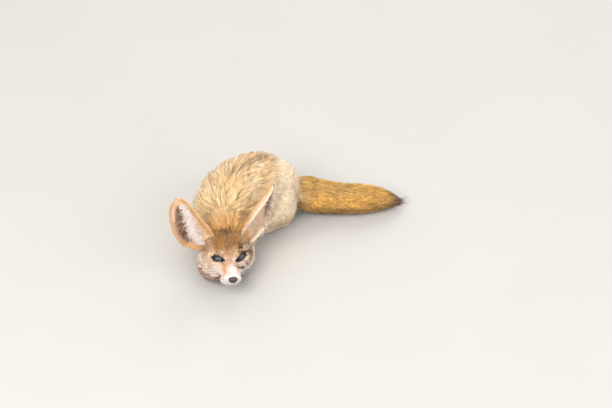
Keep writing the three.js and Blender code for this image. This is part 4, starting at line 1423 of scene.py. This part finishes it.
def makeWhiskers():
    rng = np.random.default_rng(71)
    roots, aims, reaches = [], [], []
    for side, row, k in np.ndindex(2, 4, 5):
        side, back = sides[side][1], k / 4
        roots.append((side * (8.5 + 4.5 * back), -37 + 12 * back, -15.5 - 2.1 * row + 0.8 * back))
        forth, up = rng.normal(size=2) * 0.06
        aims.append((side * 0.85, 0.25 + 0.5 * back + forth, 0.25 - 0.2 * row + up))
        reaches.append(0.026 + 0.016 * back - 0.002 * row)
    aims = unit(np.array(aims)) @ headTurn.T
    falls = np.tile((0, 0.2, -1.0), (len(aims), 1))
    makeSpikes("whiskers", "nose_leather", fromHead(roots), aims, falls, reaches, whiskerSettings)


def makeLashes(count=24):
    turns = np.linspace(0.25, 2.5, count)
    roots, aims, falls = [], [], []
    for _, side in sides:
        aim = eyeFrame(side)[1]
        roots.append(lidPoint(side, turns, 1.02, 1.0))
        out = np.column_stack([np.cos(turns) * side * 0.6, np.full(count, 0.8), np.full(count, 0.7)])
        aims.append(unit(out) @ aim.T @ headTurn.T)
        falls.append(np.tile(headTurn @ aim @ (0, -0.7, 0.7), (count, 1)))
    roots, aims, falls = np.vstack(roots), np.vstack(aims), np.vstack(falls)
    makeSpikes("lashes", "eye_gloss", roots, aims, falls, [lashLong] * len(roots), lashSettings)


def makeClaws():
    roots, aims = (np.array(values) for values in zip(*claws))
    falls = np.tile((0, 0, 1.0), (len(roots), 1))
    aims = unit(aims + (0, 0, -0.12))
    makeSpikes("claws", "pale_coat", roots, aims, falls, [clawLong] * len(roots), clawSettings)


makeWhiskers()
makeLashes()
makeClaws()

skinNodes = ["head", "lower_jaw", "neck", "torso", "thigh_left", "thigh_right", "tail", "foreleg_left"]
skinNodes += ["foreleg_right", "forepaw_left", "forepaw_right", "hind_foot_left", "hind_foot_right"]
fitToFox(skin, skinMaterial, "pale_coat", *skinNodes)

# Floor, light and camera. The photograph's middle looks at a point right of the fox, from 43 degrees above.
stageSettings = {
    "floorSize": 14,
    "floorTone": "b6b3ad",
    "lookAt": (112, 50, 0),
    "distance": 3.67,
    "elevation": 43,
    "lens": 134.93,
    "sensor": 36,
    "farthest": 100,
    "lampsLookAt": 0.05,
}
lamps = table("place size watts colour", {
    "keyBox": ((-0.9, -1.3, 1.9), 1.3, 48, (1.0, 0.98, 0.95)),
    "fillBox": ((1.6, -0.9, 1.3), 1.6, 23, (0.97, 0.98, 1.0)),
    "backBox": ((0.3, 1.7, 1.6), 1.4, 20, (1.0, 0.98, 0.96)),
})


def makeFloor():
    half = stageSettings["floorSize"] / 2
    mesh = bpy.data.meshes.new("studio_floor")
    square = [(-half, -half, 0), (half, -half, 0), (half, half, 0), (-half, half, 0)]
    mesh.from_pydata(square, [], [(0, 1, 2, 3)])
    finish = {"colour": stageSettings["floorTone"], "vary": 0.03, "grain": 5.0, "detail": 4.0}
    mesh.materials.append(makeMaterial("paleFloor", 0.9, speckledFinish, **finish))
    newPiece("studio_floor", mesh)


def addLight(name, place, size, watts, colour):
    data = bpy.data.lights.new(name, "AREA")
    data.shape, data.size, data.energy, data.color = "SQUARE", size, watts, colour
    x, y, z = np.array(place) - (0, 0, stageSettings["lampsLookAt"])
    lamp = newObject(name, data)
    lamp.location = place
    lamp.rotation_euler = (math.atan2(math.hypot(x, y), z), 0, math.atan2(x, -y))


def makeCamera():
    data = bpy.data.cameras.new("photoView")
    data.lens, data.sensor_width, data.sensor_fit = stageSettings["lens"], stageSettings["sensor"], "HORIZONTAL"
    data.clip_end = stageSettings["farthest"]
    camera = newObject("photoView", data)
    rise = math.radians(stageSettings["elevation"])
    away = np.array((0, -math.cos(rise), math.sin(rise))) * stageSettings["distance"]
    camera.location = toFrame(stageSettings["lookAt"]) + away
    camera.rotation_euler = (math.pi / 2 - rise, 0, 0)
    bpy.context.scene.camera = camera


makeFloor()
for name, lamp in lamps.items():
    addLight(name, **lamp)
world = bpy.data.worlds.new("paleRoom")
world.use_nodes = True
world.node_tree.nodes["Background"].inputs["Color"].default_value = (0.96, 0.97, 1.0, 1)
world.node_tree.nodes["Background"].inputs["Strength"].default_value = 0.95
bpy.context.scene.world = world
bpy.context.scene.view_settings.view_transform = "Standard"
makeCamera()
print("stage")
